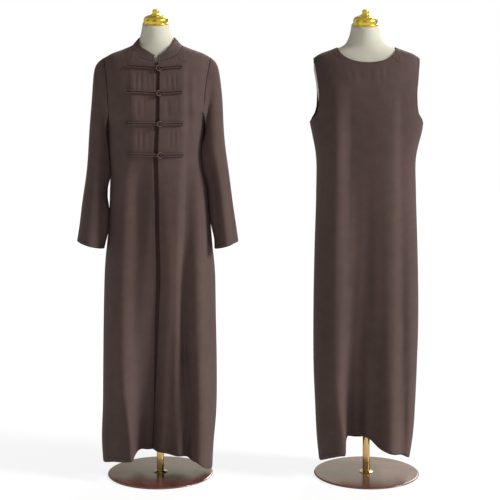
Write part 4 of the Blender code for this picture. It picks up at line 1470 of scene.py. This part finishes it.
@dataclass
class Studio:
    """The plain pale floor, the soft light and the camera.

    Attributes:
        lamps: the lamps.
        floor_half: half of the floor's side.
        floor_drop: how far the floor lies under the bases.
        floor_white: how much light it throws back.
        floor_seen: how much of that the camera sees.
        floor_glow: how much it glows to the camera.
        seen_white: brightness of the surround to the camera.
        ambient: brightness of the surround where it lights the set.
        mirrored: brightness of the surround in metal.
        flag_share: share of that which is left in dark flags.
        mirrored_tint: colour of the surround in metal.
        flags: how many dark flags stand round the set.
        flag_turn: how far they are turned round it.
    """

    lamps: Sequence[Lamp]
    floor_half: float = 9.0
    floor_drop: float = 0.0002
    floor_white: float = 0.90
    floor_seen: float = 0.26
    floor_glow: float = 0.78
    seen_white: float = 1.0
    ambient: float = 0.31
    mirrored: float = 0.85
    flag_share: float = 0.35
    mirrored_tint: Colour = (0.95, 1.0, 0.84)
    flags: float = 5.0
    flag_turn: float = 0.6

    def build(self) -> None:
        """Builds the floor, the sky, the lamps and the camera."""
        self.floor()
        self.sky()
        for lamp in self.lamps:
            lamp.hang()
        self.camera()

    def floor(self) -> None:
        """A plain pale floor under both bases."""
        work = bmesh.new()
        bmesh.ops.create_grid(work, x_segments=1, y_segments=1, size=self.floor_half)
        item = link("floor", mesh_from(work, "floor"))
        item.location.z = -self.floor_drop
        made = bpy.data.materials.new("pale_floor")
        made.use_nodes = True
        board = Board(made.node_tree)
        seen = board.add("ShaderNodeLightPath").outputs["Is Camera Ray"]
        white = board.math("MULTIPLY_ADD", seen, self.floor_seen - self.floor_white, self.floor_white)
        board.feed(made.node_tree.nodes["Principled BSDF"], Base_Color=white, Roughness=0.9,
                   Specular_IOR_Level=0.0, Emission_Color=WHITE,
                   Emission_Strength=board.math("MULTIPLY", seen, self.floor_glow))
        item.data.materials.append(made)

    def sky(self) -> None:
        """A white surround that looks brighter to the camera and to metal than it lights the cloth."""
        world = bpy.data.worlds.new("white_surround")
        bpy.context.scene.world = world
        world.use_nodes = True
        board = Board(world.node_tree)
        path = board.add("ShaderNodeLightPath").outputs
        place = board.add("ShaderNodeTexCoord").outputs["Generated"]
        way = board.add("ShaderNodeSeparateXYZ", Vector=place).outputs
        turn = board.math("ARCTAN2", way["X"], way["Y"])
        wave = board.math("SINE", board.math("MULTIPLY_ADD", turn, self.flags, self.flag_turn))
        panels = board.between(wave, -0.3, 0.4, self.flag_share * self.mirrored, self.mirrored)
        glossy = board.math("MULTIPLY", path["Is Glossy Ray"], board.math("SUBTRACT", panels, self.ambient))
        seen = board.math("MULTIPLY", path["Is Camera Ray"], self.seen_white - self.ambient)
        strength = board.math("ADD", board.math("ADD", glossy, seen), self.ambient)
        colour = board.mix(path["Is Glossy Ray"], WHITE, (*self.mirrored_tint, 1.0))
        board.feed(world.node_tree.nodes["Background"], Color=colour, Strength=strength)

    def camera(self) -> None:
        """The camera at the photograph's angle."""
        base = frame_middle("abaya_form_base")
        camera = bpy.data.cameras.new("camera")
        camera.lens = CAMERA_LENS
        camera.sensor_width = CAMERA_SENSOR
        item = link("camera", camera)
        item.location = (base.x + CAMERA_PLACE[0], base.y + CAMERA_PLACE[1], CAMERA_HEIGHT)
        item.rotation_euler = (CAMERA_PITCH, 0.0, 0.0)
        bpy.context.scene.camera = item


LAMPS = (Lamp("key", 73, 28, 16, 3.6), Lamp("back", 158, 30, 20, 1.5))

OPENING_SWING = Swing(0.0, 0.99, 0.125, 0.46, 0.0105)
CLOSING_SWING = Swing(0.004, 0.120, 0.050, 0.240, -0.006)
SLEEVE_SWELLS = (Swing(0.170, 0.950, 0.060, 0.150, 0.011),)
BODY_SWELLS = SLEEVE_SWELLS + (Swing(-0.170, 1.130, 0.050, 0.055, -0.005),)
RIGHT_HEM_SWING = Swing(-0.118, 0.0, 0.028, 0.26, 0.026)
DRESS_HEM_SWING = Swing(-0.108, 0.0, 0.026, 0.24, 0.024)

# Half of the width of a ripple between the closures
RIPPLE = 0.0045


def creases(*rows: tuple[float | bool, ...]) -> tuple[Crease, ...]:
    """Creases from rows of their values, in the order of Crease's fields."""
    return tuple(Crease(*row) for row in rows)


RIGHT_FRONT_CREASES = creases(
    # Folds of the skirt
    (-0.108, 1.210, -0.122, 0.020, 0.030, -0.009, True, 0.030, -0.014, 0.12),
    (-0.050, 1.112, -0.070, 0.020, 0.030, 0.018, True, 0.026, -0.024, 0.12),
    (-0.046, 0.860, -0.050, 0.020, 0.022, -0.008, True, 0.070, 0.0, 0.34),
    # Edge of the flat field behind the closures
    (-0.079, 1.440, -0.083, 1.060, 0.010, -0.0050, False, 0.030),
    (-0.104, 1.330, -0.108, 1.020, 0.012, 0.0030),
    # Ripples between the closures
    (-0.066, 1.392, -0.066, 1.322, RIPPLE, 0.0016),
    (-0.050, 1.394, -0.052, 1.318, RIPPLE, 0.0020),
    (-0.031, 1.390, -0.032, 1.326, RIPPLE, 0.0013),
    (-0.018, 1.388, -0.019, 1.340, RIPPLE, 0.0011),
    (-0.061, 1.312, -0.062, 1.226, RIPPLE, 0.0012),
    (-0.043, 1.310, -0.041, 1.240, RIPPLE, 0.0009),
    (-0.063, 1.214, -0.064, 1.128, RIPPLE, 0.0015),
    (-0.047, 1.212, -0.049, 1.130, RIPPLE, 0.0018),
    (-0.030, 1.208, -0.031, 1.136, RIPPLE, 0.0010),
)

LEFT_FRONT_CREASES = creases(
    # Folds of the skirt
    (0.066, 1.105, 0.054, 0.020, 0.052, -0.011, True, 0.022, -0.004, 0.30),
    (0.104, 1.180, 0.140, 0.000, 0.012, 0.014, True, 0.034, -0.036, 0.12),
    (0.146, 1.160, 0.156, 0.000, 0.040, -0.021, True, 0.022, -0.006, 0.36),
    # Edge of the flat field behind the closures
    (0.090, 1.450, 0.086, 1.060, 0.030, -0.0050, False, 0.012),
    (0.121, 1.400, 0.126, 1.100, 0.012, -0.0035, False, 0.010),
    # Ripples between the closures
    (0.030, 1.390, 0.031, 1.326, RIPPLE, 0.0012),
    (0.048, 1.392, 0.049, 1.322, RIPPLE, 0.0016),
    (0.064, 1.390, 0.065, 1.330, RIPPLE, 0.0013),
    (0.034, 1.312, 0.036, 1.232, 0.008, 0.0018),
    (0.070, 1.310, 0.070, 1.250, RIPPLE, 0.0008),
    (0.040, 1.212, 0.041, 1.132, RIPPLE, 0.0010),
    (0.058, 1.208, 0.058, 1.136, RIPPLE, 0.0014),
    (0.075, 1.206, 0.075, 1.142, RIPPLE, 0.0009),
)

ABAYA_BACK_CREASES = creases(
    (-0.030, 1.320, -0.052, 0.020, 0.030, 0.012, True, 0.040, 0.006),
    (0.044, 1.260, 0.062, 0.020, 0.036, 0.013, True, 0.024, -0.008),
    (-0.110, 1.220, -0.122, 0.020, 0.022, 0.010, True, 0.030),
    (0.118, 1.180, 0.126, 0.020, 0.026, 0.009, True, 0.018),
    (0.006, 1.150, 0.004, 0.020, 0.018, -0.006, True),
    (-0.100, 1.400, -0.060, 1.230, 0.010, 0.0030),
    (0.104, 1.380, 0.072, 1.240, 0.010, 0.0026),
)

DRESS_FRONT_CREASES = creases(
    # Folds of the skirt
    (-0.104, 1.400, -0.138, 0.030, 0.032, -0.019, True, 0.034, 0.0, 0.24),
    (-0.050, 1.360, -0.082, 0.030, 0.028, 0.012, True, 0.105, 0.0, 0.16),
    (-0.024, 0.840, -0.034, 0.030, 0.030, -0.014, True, 0.110, 0.0, 0.36),
    (0.090, 0.860, 0.094, 0.030, 0.060, 0.009, True, 0.030, 0.0, 0.36),
    (-0.080, 0.560, -0.084, 0.000, 0.009, 0.004, True, 0.018),
    (0.112, 1.370, 0.116, 0.030, 0.018, 0.010, True, 0.034, 0.0, 0.14),
    # Light creases below the neck and from the arms
    (-0.054, 1.404, -0.050, 1.345, 0.0060, 0.0011),
    (-0.026, 1.404, -0.024, 1.350, 0.0065, 0.0009),
    (0.010, 1.400, 0.012, 1.352, 0.0070, 0.0008),
    (0.038, 1.408, 0.041, 1.350, 0.0060, 0.0011),
    (0.062, 1.416, 0.062, 1.362, 0.0065, 0.0009),
    (-0.164, 1.226, -0.128, 1.190, 0.0060, 0.0022),
    (0.166, 1.224, 0.132, 1.192, 0.0060, 0.0020),
)

DRESS_BACK_CREASES = creases(
    (-0.052, 1.300, -0.070, 0.030, 0.034, 0.012, True, 0.026, 0.006),
    (0.034, 1.260, 0.050, 0.030, 0.026, 0.012, True, 0.040),
    (0.112, 1.200, 0.118, 0.030, 0.022, 0.009, True, 0.018, -0.005),
    (-0.126, 1.160, -0.130, 0.030, 0.018, 0.008, True, 0.022),
    (-0.010, 1.050, -0.012, 0.030, 0.020, -0.005, True),
)

# Distances round a sleeve run from its front line, positive towards the outer side
RIGHT_SLEEVE_CREASES = creases(
    (-0.074, 1.235, -0.072, 0.985, 0.026, -0.018),
    (-0.074, 0.985, -0.072, 0.790, 0.026, -0.014),
    (0.012, 1.250, 0.020, 0.790, 0.018, 0.0022, True, 0.026, 0.005),
    (0.062, 1.150, 0.052, 0.790, 0.016, 0.0022, True, 0.022),
    (-0.034, 1.100, -0.040, 0.790, 0.016, 0.0012, True, 0.020),
    (0.130, 1.180, 0.128, 0.790, 0.016, 0.0045, True),
)

LEFT_SLEEVE_CREASES = creases(
    (-0.074, 1.240, -0.072, 0.980, 0.026, -0.018),
    (-0.074, 1.030, -0.072, 0.820, 0.026, -0.010),
    (-0.006, 1.200, 0.004, 0.790, 0.016, -0.0045, True, 0.014, 0.004),
    (-0.030, 1.140, -0.028, 0.790, 0.012, 0.0040, True, 0.016),
    (0.036, 1.080, 0.034, 0.790, 0.010, 0.0030, True, 0.016),
    (0.120, 1.200, 0.124, 0.790, 0.016, 0.0045, True),
)


def main() -> None:
    """Builds the set in order and reports each piece."""
    logging.basicConfig(level=logging.INFO, format="%(message)s")
    abaya_form = DressForm("abaya", 0.0, 0.0080, 0.92)
    dress_form = DressForm("dress", DRESS_LEAN, 0.0040, 0.99)
    abaya_form.build()
    dress_form.build()
    Abaya(frame_middle("abaya_form_base").x, abaya_form.cover).build()
    Dress(frame_middle("dress_form_base").x, dress_form.cover).build()
    Studio(LAMPS).build()
    bpy.context.scene.view_settings.view_transform = "Standard"


if __name__ == "__main__":
    main()
